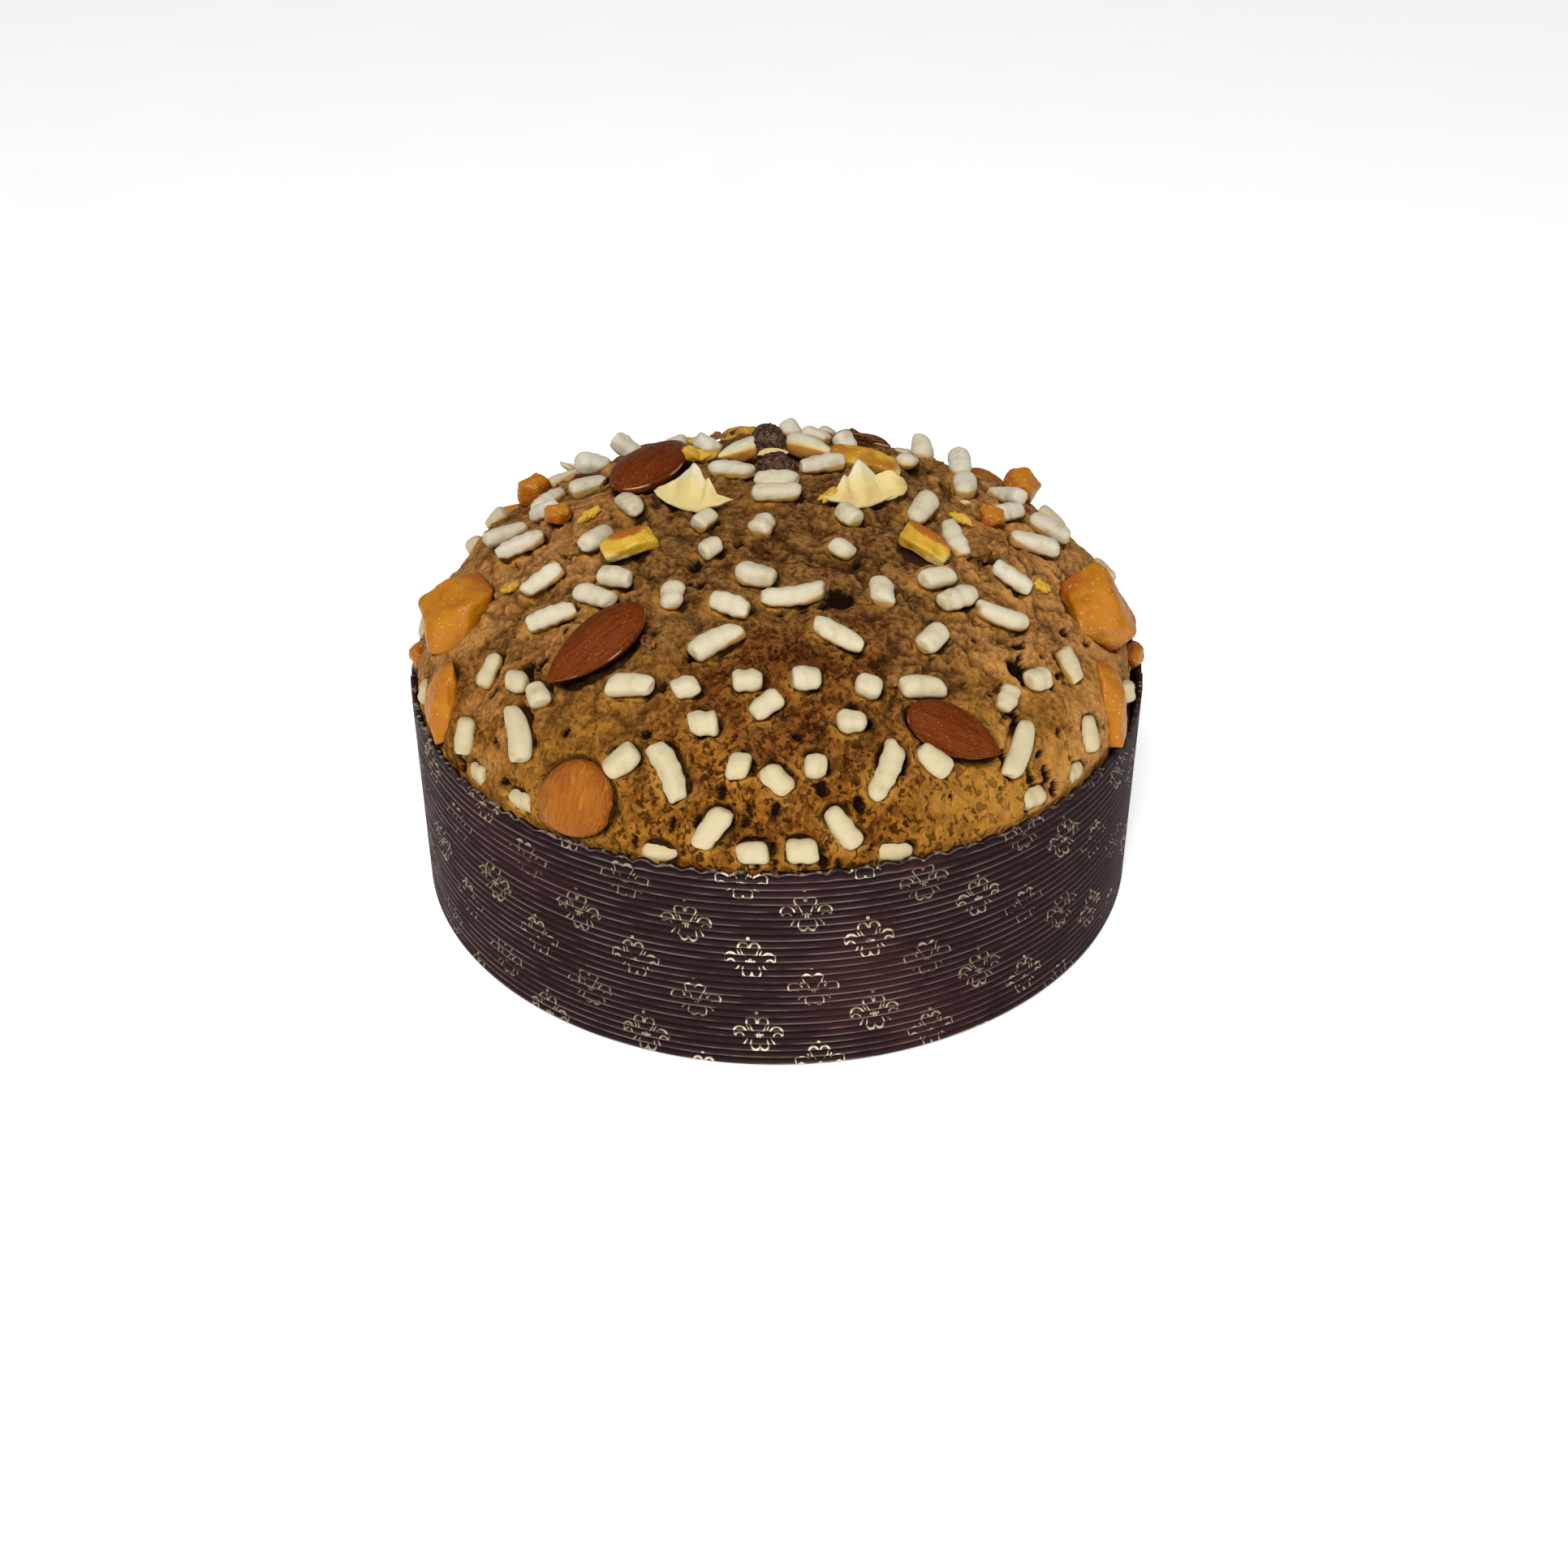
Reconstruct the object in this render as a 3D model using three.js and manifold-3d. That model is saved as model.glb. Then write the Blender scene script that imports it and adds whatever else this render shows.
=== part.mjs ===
// A domed sweet cake in its pleated paper case, studded with sugar nibs, almonds and candied fruit.
// Millimetres, +Z up. The origin is the centre of the case's underside, and -Y is the front.
import * as THREE from "three";
import { mergeVertices } from "three/addons/utils/BufferGeometryUtils.js";
import Module from "manifold-3d";

const wasm = await Module();
wasm.setup();

// ---- Driving dimensions ----

const CASE_RADIUS = 93; // over the crests of the pleats
const CASE_HEIGHT = 57;
const DOME_RISE = 44.2; // crown of the cake above the case's rim

const PAPER = 1.0; // floor of the case
const WALL = 1.4; // pleated wall, crest to inner face
const PLEAT_COUNT = 20;
const PLEAT_DEPTH = 0.8;
const FOOT_CHAMFER = 1.6;
const RIM_BAND = 2.6; // plain strip under the pinked edge
const PINK_COUNT = 84; // teeth of the pinked edge
const PINK_HEIGHT = 0.7;
const RIM_WOBBLE = 0.5;

const GAP = 0.4; // air between touching pieces
const ROUND_STEPS = 30; // facets round the case and the cake
const DOME_ROWS = 9;
const DOME_BREADTH = 2.3; // exponents of the dome's outline
const DOME_FULLNESS = 1.8;
const CRUST_WAVES = 6; // each shorter and lower than the one before, in a heading of its own
const CRUST_WAVE_HEIGHT = 0.55;
const CRUST_WAVE_LENGTH = 58;
const WAVE_LOWERING = 0.86;
const WAVE_SHORTENING = 0.74;
const WAVE_HEADING = 137.5;
const WAVE_PHASE = 2.1;
const EDGE_SHRINK = 1.8; // where the cake has drawn in from the paper
const EDGE_SHRINK_BEARING = 84;
const EDGE_SHRINK_SPREAD = 26;
const EDGE_SHRINK_DEPTH = 14;

const LARGE_TOPPING = 15; // longer toppings get more facets

const NIB_WIDTH = 5.8;
const NIB_SLIMMEST = 0.92; // of the usual width
const NIB_WIDTH_SPREAD = 0.16;
const NIB_SIDES = 5;
const NIB_BLUNTNESS = 0.35; // length of a nib's end cone, as a share of its radius
const NIB_LIFT = 0.5; // axis of a nib above the crust
const HIDDEN_SPACING = 20; // of the nibs along a hidden row
const HIDDEN_CLEARANCE = 2;
const HIDDEN_SHORTEST = 6;
const HIDDEN_LENGTH_SPREAD = 9;
const HIDDEN_POLAR_SPREAD = 5; // degrees
const HIDDEN_BEARING_SPREAD = 0.4; // of the spacing
const TOPPING_TAPER = 0.9; // how much closer than its widest part a nib may lie to a topping
const REACH_LIMIT = CASE_RADIUS - 0.1; // nothing stands out past the case
const RIM_CLEARANCE = 1.1; // nibs by the pinked edge stay this far above its mean height

// ---- Where things lie on the dome ----
// Polar is 0 at the crown and 90 at the rim. Bearing is 0 at the front and 90 at the right.
// Turn is 0 for a piece that points down the slope and 90 for one that points to a growing bearing.

// Sugar nibs that show from the front, in rings. Each is [bearing, length, turn], and a ring's
// pairs lie on the right and, mirrored, on the left, while its singles lie where they say.
const SUGAR_RINGS = [
  { polar: 1.2, pairs: [], singles: [[180, 12.5, 90]] },
  { polar: 3.9, pairs: [], singles: [[180, 11, 86]] },
  { polar: 6, pairs: [], singles: [[-15, 7.5, -5]] },
  { polar: 9.5, pairs: [[66, 7, -30]], singles: [] },
  { polar: 12, pairs: [[151, 12, -37]], singles: [] },
  { polar: 14, pairs: [[36, 6, 10]], singles: [] },
  { polar: 17, pairs: [], singles: [[-9, 10, 80]] },
  { polar: 20, pairs: [[93, 11, 60]], singles: [] },
  { polar: 22, pairs: [], singles: [[5.5, 15.5, -85]] },
  { polar: 26, pairs: [[76, 12, -54], [33, 8, -30], [156, 7, 20]], singles: [] },
  { polar: 25, pairs: [], singles: [[-14.5, 10.5, 76]] },
  { polar: 28, pairs: [[53, 9, 66]], singles: [] },
  { polar: 31, pairs: [[141, 8, 30]], singles: [] },
  { polar: 33, pairs: [[52, 11, 76], [15, 13, 46], [122, 10, -65]], singles: [] },
  { polar: 38, pairs: [[103, 10, 29], [70, 11, -6]], singles: [[36.5, 8.5, -70]] },
  { polar: 41, pairs: [[57, 13, 31], [6, 7, 86], [89, 13, -18], [112, 13, -85]], singles: [] },
  { polar: 44, pairs: [[18, 6.5, 60], [127, 8, 10]], singles: [] },
  { polar: 46.5, pairs: [[28.5, 11, 73], [99, 12, -50]], singles: [[-2, 8, -49]] },
  { polar: 51, pairs: [[13, 7, 83]], singles: [] },
  { polar: 56, pairs: [[51, 6.5, 76]], singles: [[43, 7, -60], [-44.5, 6.5, 60]] },
  { polar: 58.5, pairs: [[59.5, 9, -22]], singles: [] },
  { polar: 60, pairs: [[6, 5.5, 86]], singles: [] },
  { polar: 63, pairs: [[17, 14, -36], [25, 9, 37]], singles: [[0, 8, 45]] },
  { polar: 68, pairs: [[40, 14.5, -49]], singles: [] },
  { polar: 77, pairs: [[56, 9, -20], [9.5, 11, 32]], singles: [] },
  { polar: 84, pairs: [[3.5, 7.5, 88], [41, 8, 82], [17, 9, 87], [74, 6, 0], [51, 6, 85]], singles: [] },
];
// Rows of nibs on the side that doesn't show, as the polar angle and the bearing that each row
// starts from, spaced evenly with seeded changes.
const HIDDEN_ROWS = [[30, 146], [40, 134], [51, 122], [62, 116], [73, 104], [84, 90]];

// Large toppings. Sizes are length, width and thickness, and lift is how far the middle of the
// piece stands off the crust. A pair is mirrored from right to left.
const TOPPINGS = [
  { kind: "almond", name: "almond_crown", size: [29, 15.5, 9], lift: 2.2,
    polar: 22.5, bearing: -124.5, turn: 84 },
  { kind: "almond", name: "almond_left", size: [28, 13.5, 8], lift: 1.4,
    polar: 42, bearing: -39, turn: -18 },
  { kind: "almond", name: "almond_right", size: [24, 12, 7.5], lift: 0.8,
    polar: 58, bearing: 30.5, turn: 48 },
  { kind: "button", name: "almond_round", size: [18, 17.5, 7.5], lift: 0.8,
    polar: 77, bearing: -32, turn: 0 },
  { kind: "fruit", name: "apricot", pair: true, size: [23, 21, 14], lift: 1.4,
    polar: 60, bearing: 79, turn: -8 },
  { kind: "fruit", name: "apricot_side", pair: true, size: [21, 9, 6.5], lift: 0.4,
    polar: 79, bearing: 67, turn: -22 },
  { kind: "fruit", name: "apricot_edge", pair: true, size: [7.5, 6.5, 6], lift: 0,
    polar: 83, bearing: 86, turn: 10 },
  { kind: "fruit", name: "apricot_shoulder", pair: true, size: [10, 9, 9], lift: 1.6,
    polar: 55, bearing: 124, turn: 0 },
  { kind: "fruit", name: "amber_bit", pair: true, size: [7, 6, 6], lift: 0.6,
    polar: 33.5, bearing: 97, turn: 20 },
  { kind: "peel", name: "peel", pair: true, size: [12, 7.5, 5], lift: 0.8,
    polar: 20.7, bearing: 62, turn: 12 },
  { kind: "peel", name: "peel_crown", size: [16.5, 8, 6], lift: 1.2,
    polar: 20.5, bearing: 136, turn: -46 },
  { kind: "flake", name: "flake", pair: true, size: [20, 11, 3], lift: 2.2,
    polar: 11.5, bearing: 104, turn: 8, tilt: 28 },
  { kind: "chip", name: "almond_chip", pair: true, size: [11.5, 7, 6], lift: 1.8,
    polar: 20, bearing: 164, turn: 70 },
  { kind: "chip", name: "almond_bit", size: [8, 6.5, 5], lift: 1.0,
    polar: 30, bearing: 131, turn: 10 },
  { kind: "nub", name: "cocoa_nub_front", size: [9, 6.5, 7], lift: 1.0,
    polar: 13, bearing: 180, turn: 90 },
  { kind: "nub", name: "cocoa_nub_back", size: [8, 7.5, 9], lift: 1.6,
    polar: 21.5, bearing: -177, turn: 0 },
  // The side away from the viewer is studded in the same way.
  { kind: "almond", name: "almond_back_high", size: [27, 14, 8], lift: 1.2,
    polar: 53, bearing: 164, turn: 55 },
  { kind: "almond", name: "almond_back_low", size: [25.5, 13.5, 8], lift: 1.0,
    polar: 66, bearing: -150, turn: 50 },
  { kind: "button", name: "almond_back_round", size: [17.5, 17, 8], lift: 0.8,
    polar: 66, bearing: 136, turn: 0 },
  { kind: "fruit", name: "apricot_back", size: [22, 19, 12], lift: 0.9,
    polar: 68, bearing: -177, turn: 15 },
  { kind: "fruit", name: "apricot_back_left", size: [18, 10, 8], lift: 0.4,
    polar: 72, bearing: -124, turn: 20 },
  { kind: "peel", name: "peel_back", size: [13, 8, 5], lift: 0.8,
    polar: 52, bearing: -172, turn: 40 },
  { kind: "flake", name: "flake_back", size: [17, 10, 3], lift: 1.6,
    polar: 60, bearing: -139, turn: -30, tilt: 20 },
];

// ---- Finishes ----

const FINISHES = {
  paper: { color: 0x3e2a2b, roughness: 0.42, metalness: 0 },
  crust: { color: 0x7d4e22, roughness: 0.7, metalness: 0 },
  almond: { color: 0x73391b, roughness: 0.6, metalness: 0 },
  button: { color: 0xb3661e, roughness: 0.55, metalness: 0 },
  fruit: { color: 0xcb8922, roughness: 0.35, metalness: 0 },
  peel: { color: 0xcaa032, roughness: 0.4, metalness: 0 },
  flake: { color: 0xdcc889, roughness: 0.65, metalness: 0 },
  chip: { color: 0xe2d3a6, roughness: 0.6, metalness: 0 },
  nub: { color: 0x4a2f25, roughness: 0.85, metalness: 0 },
};

const radians = THREE.MathUtils.degToRad;
const degrees = THREE.MathUtils.radToDeg;

// Repeatable draws from 0 to 1.
function drawsFrom(seed) {
  let state = seed;
  return () => {
    state = (state * 1664525 + 1013904223) % 4294967296;
    return state / 4294967296;
  };
}

// A closed geometry as a solid that can be joined and cut.
function solidOf(geometry) {
  const bare = new THREE.BufferGeometry();
  bare.setAttribute("position", geometry.getAttribute("position"));
  bare.setIndex(geometry.index);
  const merged = mergeVertices(bare, 1e-4);
  return new wasm.Manifold(
    new wasm.Mesh({
      numProp: 3,
      vertProperties: merged.attributes.position.array,
      triVerts: new Uint32Array(merged.index.array),
    }),
  );
}

// A solid as a geometry that a mesh can show.
function geometryOf(solid) {
  const { vertProperties, triVerts } = solid.getMesh();
  const geometry = new THREE.BufferGeometry();
  geometry.setAttribute("position", new THREE.BufferAttribute(new Float32Array(vertProperties), 3));
  geometry.setIndex(new THREE.BufferAttribute(new Uint32Array(triVerts), 1));
  geometry.computeVertexNormals();
  return geometry;
}

function meshOf(name, geometry, finish) {
  const mesh = new THREE.Mesh(geometry, new THREE.MeshStandardMaterial(finish));
  mesh.name = name;
  return mesh;
}

// Turns [radius, height] pairs round +Z, starting at the front.
function lathe(profile, steps) {
  const points = profile.map(([radius, height]) => new THREE.Vector2(radius, height));
  return new THREE.LatheGeometry(points, steps).rotateX(Math.PI / 2);
}

// Moves each vertex of a geometry by a function of its place.
function reshape(geometry, move) {
  const position = geometry.getAttribute("position");
  const vertex = new THREE.Vector3();
  for (let i = 0; i < position.count; i++) {
    move(vertex.fromBufferAttribute(position, i));
    position.setXYZ(i, vertex.x, vertex.y, vertex.z);
  }
  return geometry;
}

const bearingOf = (x, y) => degrees(Math.atan2(x, -y));

// ---- The paper case ----

// Underside, foot, pleats, and the plain inner face of the cup.
function casePleats() {
  const top = CASE_HEIGHT - RIM_BAND / 2;
  const pitch = (top - FOOT_CHAMFER) / PLEAT_COUNT;
  const inner = CASE_RADIUS - WALL;
  const profile = [[0, 0], [CASE_RADIUS - FOOT_CHAMFER, 0]];
  for (let i = 0; i < PLEAT_COUNT; i++) {
    const foot = FOOT_CHAMFER + i * pitch;
    profile.push([CASE_RADIUS, foot]);
    profile.push([CASE_RADIUS - PLEAT_DEPTH, foot + pitch / 2]);
  }
  profile.push([CASE_RADIUS, top]);
  profile.push([inner, top]);
  profile.push([inner, PAPER]);
  profile.push([0, PAPER]);
  return lathe(profile, ROUND_STEPS);
}

// The rim's strip, with a tooth at every second step round its top.
function casePinkedRim() {
  const foot = CASE_HEIGHT - RIM_BAND;
  const inner = CASE_RADIUS - WALL;
  const profile = [
    [inner, foot],
    [CASE_RADIUS, foot],
    [CASE_RADIUS, CASE_HEIGHT],
    [inner, CASE_HEIGHT],
    [inner, foot],
  ];
  return reshape(lathe(profile, 2 * PINK_COUNT), (v) => {
    if (v.z < CASE_HEIGHT - 1e-3) return;
    const bearing = bearingOf(v.x, v.y);
    const step = Math.round((bearing / 360) * 2 * PINK_COUNT);
    v.z += (PINK_HEIGHT / 2) * (step % 2 === 0 ? 1 : -1);
    v.z += RIM_WOBBLE * Math.sin(radians(3 * bearing + 40)) * Math.sin(radians(7 * bearing));
  });
}

function makeCase() {
  const cup = solidOf(casePleats()).add(solidOf(casePinkedRim()));
  return meshOf("paper_case", geometryOf(cup), FINISHES.paper);
}

// ---- The dome's surface ----

const DOME_RADIUS = CASE_RADIUS - WALL - GAP;

// Gentle swells of the crust, as a height over the smooth dome.
function crustSwell(x, y) {
  let height = 0;
  for (let i = 0; i < CRUST_WAVES; i++) {
    const heading = radians(WAVE_HEADING * i);
    const length = CRUST_WAVE_LENGTH * WAVE_SHORTENING ** i;
    const along = x * Math.cos(heading) + y * Math.sin(heading);
    const swing = Math.sin((2 * Math.PI * along) / length + WAVE_PHASE * i);
    height += CRUST_WAVE_HEIGHT * WAVE_LOWERING ** i * swing;
  }
  return height;
}

// How far the cake has drawn in from the paper at a bearing.
function edgeShrink(bearing) {
  return EDGE_SHRINK * Math.exp(-(((bearing - EDGE_SHRINK_BEARING) / EDGE_SHRINK_SPREAD) ** 2));
}

// The smooth outline at a polar angle: its radius and height, and its normal's two parts.
function domeOutline(polar) {
  const angle = radians(THREE.MathUtils.clamp(polar, 0.5, 89.5));
  const sine = Math.sin(angle);
  const cosine = Math.cos(angle);
  const across = (2 / DOME_BREADTH) * DOME_RADIUS * sine ** (2 / DOME_BREADTH - 1) * cosine;
  const fall = (2 / DOME_FULLNESS) * DOME_RISE * cosine ** (2 / DOME_FULLNESS - 1) * sine;
  const slope = Math.hypot(across, fall);
  return {
    radius: DOME_RADIUS * Math.sin(radians(polar)) ** (2 / DOME_BREADTH),
    height: CASE_HEIGHT + DOME_RISE * Math.max(0, Math.cos(radians(polar))) ** (2 / DOME_FULLNESS),
    outward: fall / slope,
    upward: across / slope,
  };
}

// How much of the swell is left at a polar angle: none at the rim.
const swellShare = (polar) => 1 - (polar / 90) ** 6;

// A place on the crust: the point, the outward normal, the way down the slope and the way round.
function placeOn(polar, bearing) {
  const outline = domeOutline(polar);
  const angle = radians(bearing);
  const radial = new THREE.Vector3(Math.sin(angle), -Math.cos(angle), 0);
  const round = new THREE.Vector3(Math.cos(angle), Math.sin(angle), 0);
  const normal = radial.clone().multiplyScalar(outline.outward);
  normal.z = outline.upward;
  const down = new THREE.Vector3().crossVectors(round, normal);
  const point = radial.clone().multiplyScalar(outline.radius);
  point.z = outline.height;
  const swell = crustSwell(point.x, point.y) * swellShare(polar);
  const lowness = THREE.MathUtils.smoothstep(polar, 90 - 2 * EDGE_SHRINK_DEPTH, 90);
  const shrink = edgeShrink(bearing) * lowness;
  point.addScaledVector(normal, swell - shrink);
  return { point, normal, down, round };
}

// ---- Sugar nibs ----

// The polar angle at a height over the case's rim.
const polarAt = (rise) => degrees(Math.acos(Math.min(1, rise / DOME_RISE) ** (DOME_FULLNESS / 2)));

// Lays a piece on the crust: its axis and middle, drawn in where it would stand out past the case.
function lay({ polar, bearing, turn, lift, length, width, thickness }) {
  const { point, normal, down, round } = placeOn(polar, bearing);
  const angle = radians(turn);
  const axis = down.multiplyScalar(Math.cos(angle)).addScaledVector(round, Math.sin(angle));
  const middle = point.addScaledVector(normal, lift);
  const radial = new THREE.Vector3(middle.x, middle.y, 0).normalize();
  const halfReach = (length * Math.abs(axis.dot(radial)) + thickness * normal.dot(radial)) / 2;
  const excess = middle.dot(radial) + halfReach - REACH_LIMIT;
  if (excess > 0) middle.addScaledVector(radial, -excess);
  return { middle, axis, normal, length, width };
}

// Lays a nib, raised where it would hang over the pinked edge.
function layNib(nib) {
  const shape = { ...nib, lift: NIB_LIFT, thickness: nib.width };
  const { axis } = lay(shape);
  const steepness = Math.abs(axis.z);
  const drop = (steepness * nib.length + Math.sqrt(1 - steepness ** 2) * nib.width) / 2;
  return lay({ ...shape, polar: Math.min(nib.polar, polarAt(RIM_CLEARANCE + drop)) });
}

// Distance between two straight lines of given half lengths, sampled along both.
function lineDistance(a, halfA, b, halfB) {
  const samples = [-1, -0.5, 0, 0.5, 1];
  let nearest = Infinity;
  for (const s of samples) {
    const p = a.middle.clone().addScaledVector(a.axis, s * halfA);
    for (const t of samples) {
      const q = b.middle.clone().addScaledVector(b.axis, t * halfB);
      nearest = Math.min(nearest, p.distanceTo(q));
    }
  }
  return nearest;
}

// True if two long pieces stay a gap apart.
function apart(a, b, gap) {
  const halfA = Math.max(0, a.length - a.width) / 2;
  const halfB = Math.max(0, b.length - b.width) / 2;
  return lineDistance(a, halfA, b, halfB) > (a.width + b.width) / 2 + gap;
}

// A nib's width, drawn anew for each.
const drawnWidth = (draw) => NIB_WIDTH * (NIB_SLIMMEST + NIB_WIDTH_SPREAD * draw());

// The nibs of the rings, right and left.
function ringNibs(draw) {
  const nibs = [];
  for (const { polar, pairs, singles } of SUGAR_RINGS) {
    for (const [bearing, length, turn] of pairs) {
      nibs.push(layNib({ polar, bearing, length, width: drawnWidth(draw), turn }));
      const width = drawnWidth(draw);
      nibs.push(layNib({ polar, bearing: -bearing, length, width, turn: -turn }));
    }
    for (const [bearing, length, turn] of singles) {
      nibs.push(layNib({ polar, bearing, length, width: drawnWidth(draw), turn }));
    }
  }
  return nibs;
}

// The nibs of the hidden rows, where no other nib lies.
function hiddenNibs(draw, laid) {
  const nibs = [];
  for (const [row, from] of HIDDEN_ROWS) {
    const step = degrees(HIDDEN_SPACING / domeOutline(row).radius);
    for (let bearing = from; bearing <= 360 - from; bearing += step) {
      const nib = layNib({
        polar: row + HIDDEN_POLAR_SPREAD * (draw() - 0.5),
        bearing: bearing + HIDDEN_BEARING_SPREAD * step * (draw() - 0.5),
        length: HIDDEN_SHORTEST + HIDDEN_LENGTH_SPREAD * draw() ** 1.5,
        width: drawnWidth(draw),
        turn: 180 * draw() - 90,
      });
      const others = laid.concat(nibs);
      if (others.every((other) => apart(nib, other, HIDDEN_CLEARANCE))) nibs.push(nib);
    }
  }
  return nibs;
}

// All the nibs that lie clear of the large toppings.
function layNibs(toppings) {
  const draw = drawsFrom(7);
  const shown = ringNibs(draw);
  const nibs = shown.concat(hiddenNibs(draw, shown));
  return nibs.filter((nib) => toppings.every((topping) => apart(nib, topping, -TOPPING_TAPER)));
}

// A five-sided rod with blunt ends.
function nibSolid({ middle, axis, normal, length, width }) {
  const radius = width / 2;
  const half = length / 2;
  const shoulder = half - NIB_BLUNTNESS * radius;
  const profile = [[0, -half], [radius, -shoulder], [radius, shoulder], [0, half]];
  const points = profile.map(([r, along]) => new THREE.Vector2(r, along));
  const geometry = new THREE.LatheGeometry(points, NIB_SIDES);
  return solidOf(geometry.applyMatrix4(framing(middle, axis, normal)));
}

// A matrix that puts a piece's Y along an axis and its Z along a normal.
function framing(middle, axis, normal) {
  const side = new THREE.Vector3().crossVectors(axis, normal);
  return new THREE.Matrix4().makeBasis(side, axis, normal).setPosition(middle);
}

// ---- Large toppings, each lying along Y with its thickness along Z ----

// A ball of given length, width and thickness, reshaped by a function of its unit sphere. A small
// one gets fewer facets.
function ball([length, width, thickness], shape) {
  const large = length > LARGE_TOPPING;
  const around = large ? 9 : 7;
  const along = large ? 6 : 4;
  return reshape(new THREE.SphereGeometry(1, around, along), (v) => {
    shape(v);
    v.set((v.x * width) / 2, (v.y * length) / 2, (v.z * thickness) / 2);
  });
}

// Broad at one end and drawn to a point at the other.
function almond(size) {
  return ball(size, (v) => {
    const girth = 1 - 0.22 * v.y - 0.12 * v.y ** 2 - 0.1 * Math.max(0, v.y) ** 3;
    v.x *= girth;
    v.z *= girth;
  });
}

// An almond seen on its end: a thick round button.
function button(size) {
  return ball(size, (v) => v.setLength(1 - 0.02 * Math.cos(3 * Math.atan2(v.x, v.y))));
}

// A rough block with rounded corners.
function fruit(size) {
  return ball(size, (v) => {
    const squareness = 1 / (Math.abs(v.x) ** 3 + Math.abs(v.y) ** 3 + Math.abs(v.z) ** 3) ** (1 / 3);
    v.multiplyScalar(THREE.MathUtils.lerp(1, squareness, 0.6));
    v.multiplyScalar(0.9 + 0.05 * Math.sin(5 * v.x + 3 * v.y) + 0.04 * Math.cos(6 * v.y - 4 * v.z));
  });
}

// A curled strip.
function peel(size) {
  return ball(size, (v) => {
    const squareness = 1 / (Math.abs(v.x) ** 4 + Math.abs(v.y) ** 4 + Math.abs(v.z) ** 4) ** 0.25;
    v.multiplyScalar(THREE.MathUtils.lerp(1, squareness, 0.7) * 0.86);
    v.z += 0.25 - 0.5 * v.y ** 2;
    v.x += 0.12 * v.y ** 2;
  });
}

// A blunt cone lying down.
function chip(size) {
  return ball(size, (v) => {
    const girth = 0.98 - 0.3 * v.y;
    v.x *= girth * 0.85;
    v.z *= girth * 0.85;
  });
}

// A coarse lump.
function nub(size) {
  return ball(size, (v) => {
    v.multiplyScalar(0.88 + 0.1 * Math.sin(7 * v.x + 2) * Math.cos(6 * v.z + 4 * v.y));
  });
}

// A thin shaving with a broken edge on one side.
function flake([length, width, thickness]) {
  const teeth = [1, 0.55, 0.92, 0.5, 0.86, 0.62, 0.7];
  const outline = new THREE.Shape();
  outline.moveTo(-width * 0.35, -length / 2);
  teeth.forEach((reach, i) => {
    outline.lineTo(width * (reach - 0.5), length * (-0.5 + (i + 0.5) / teeth.length));
  });
  outline.lineTo(-width * 0.3, length / 2);
  outline.lineTo(-width * 0.5, 0);
  const slab = new THREE.ExtrudeGeometry(outline, { depth: thickness, bevelEnabled: false });
  return slab.translate(0, 0, -thickness / 2);
}

const KINDS = { almond, button, fruit, peel, chip, nub, flake };

// The toppings with both of each pair, laid on the crust.
function layToppings() {
  const sides = ({ pair }) => (pair ? [["_right", 1], ["_left", -1]] : [["", 1]]);
  return TOPPINGS.flatMap((topping) =>
    sides(topping).map(([ending, side]) => {
      const { name, kind, size, polar, lift, tilt = 0 } = topping;
      const [length, width, thickness] = size;
      const bearing = side * topping.bearing;
      const turn = side * topping.turn;
      const laid = lay({ polar, bearing, turn, lift, length, width, thickness });
      return { ...laid, name: name + ending, kind, size, side, tilt };
    }),
  );
}

// A topping's solid, grown on every side by a margin.
function toppingSolid({ kind, size, side, tilt, middle, axis, normal }, margin) {
  const geometry = KINDS[kind](size.map((extent) => extent + 2 * margin));
  if (kind === "flake" && side > 0) geometry.rotateY(Math.PI);
  geometry.rotateY(radians(side * tilt));
  return solidOf(geometry.applyMatrix4(framing(middle, axis, normal)));
}

function makeTopping(topping) {
  return meshOf(topping.name, geometryOf(toppingSolid(topping, 0)), FINISHES[topping.kind]);
}

// ---- The cake ----

// The bare cake: flat underneath, straight inside the case, and domed above it.
function cakeBody() {
  const profile = [
    [0, PAPER + GAP],
    [DOME_RADIUS - FOOT_CHAMFER, PAPER + GAP],
    [DOME_RADIUS, PAPER + GAP + FOOT_CHAMFER],
    [DOME_RADIUS, CASE_HEIGHT - EDGE_SHRINK_DEPTH],
    [DOME_RADIUS, CASE_HEIGHT],
  ];
  for (let row = 1; row <= DOME_ROWS; row++) {
    const { radius, height } = domeOutline(90 * (1 - row / DOME_ROWS));
    profile.push([row === DOME_ROWS ? 0 : radius, height]);
  }
  return reshape(lathe(profile, ROUND_STEPS), (v) => {
    const bearing = bearingOf(v.x, v.y);
    if (v.z > CASE_HEIGHT + 1e-3) {
      v.copy(placeOn(polarAt(v.z - CASE_HEIGHT), bearing).point);
    } else {
      const height = THREE.MathUtils.smoothstep(v.z, CASE_HEIGHT - EDGE_SHRINK_DEPTH, CASE_HEIGHT);
      const shrunk = 1 - (edgeShrink(bearing) * height) / DOME_RADIUS;
      v.set(v.x * shrunk, v.y * shrunk, v.z);
    }
  });
}

// The cake with its nibs on it, and a pocket for each large topping.
function makeCake(toppings) {
  const nibs = wasm.Manifold.union(layNibs(toppings).map(nibSolid));
  const pockets = wasm.Manifold.union(toppings.map((topping) => toppingSolid(topping, GAP)));
  const cake = solidOf(cakeBody()).add(nibs).subtract(pockets);
  return meshOf("cake", geometryOf(cake), FINISHES.crust);
}

// ---- The whole ----

const toppings = layToppings();
const whole = new THREE.Group();
whole.add(makeCase(), makeCake(toppings), ...toppings.map(makeTopping));

export default whole;
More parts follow.
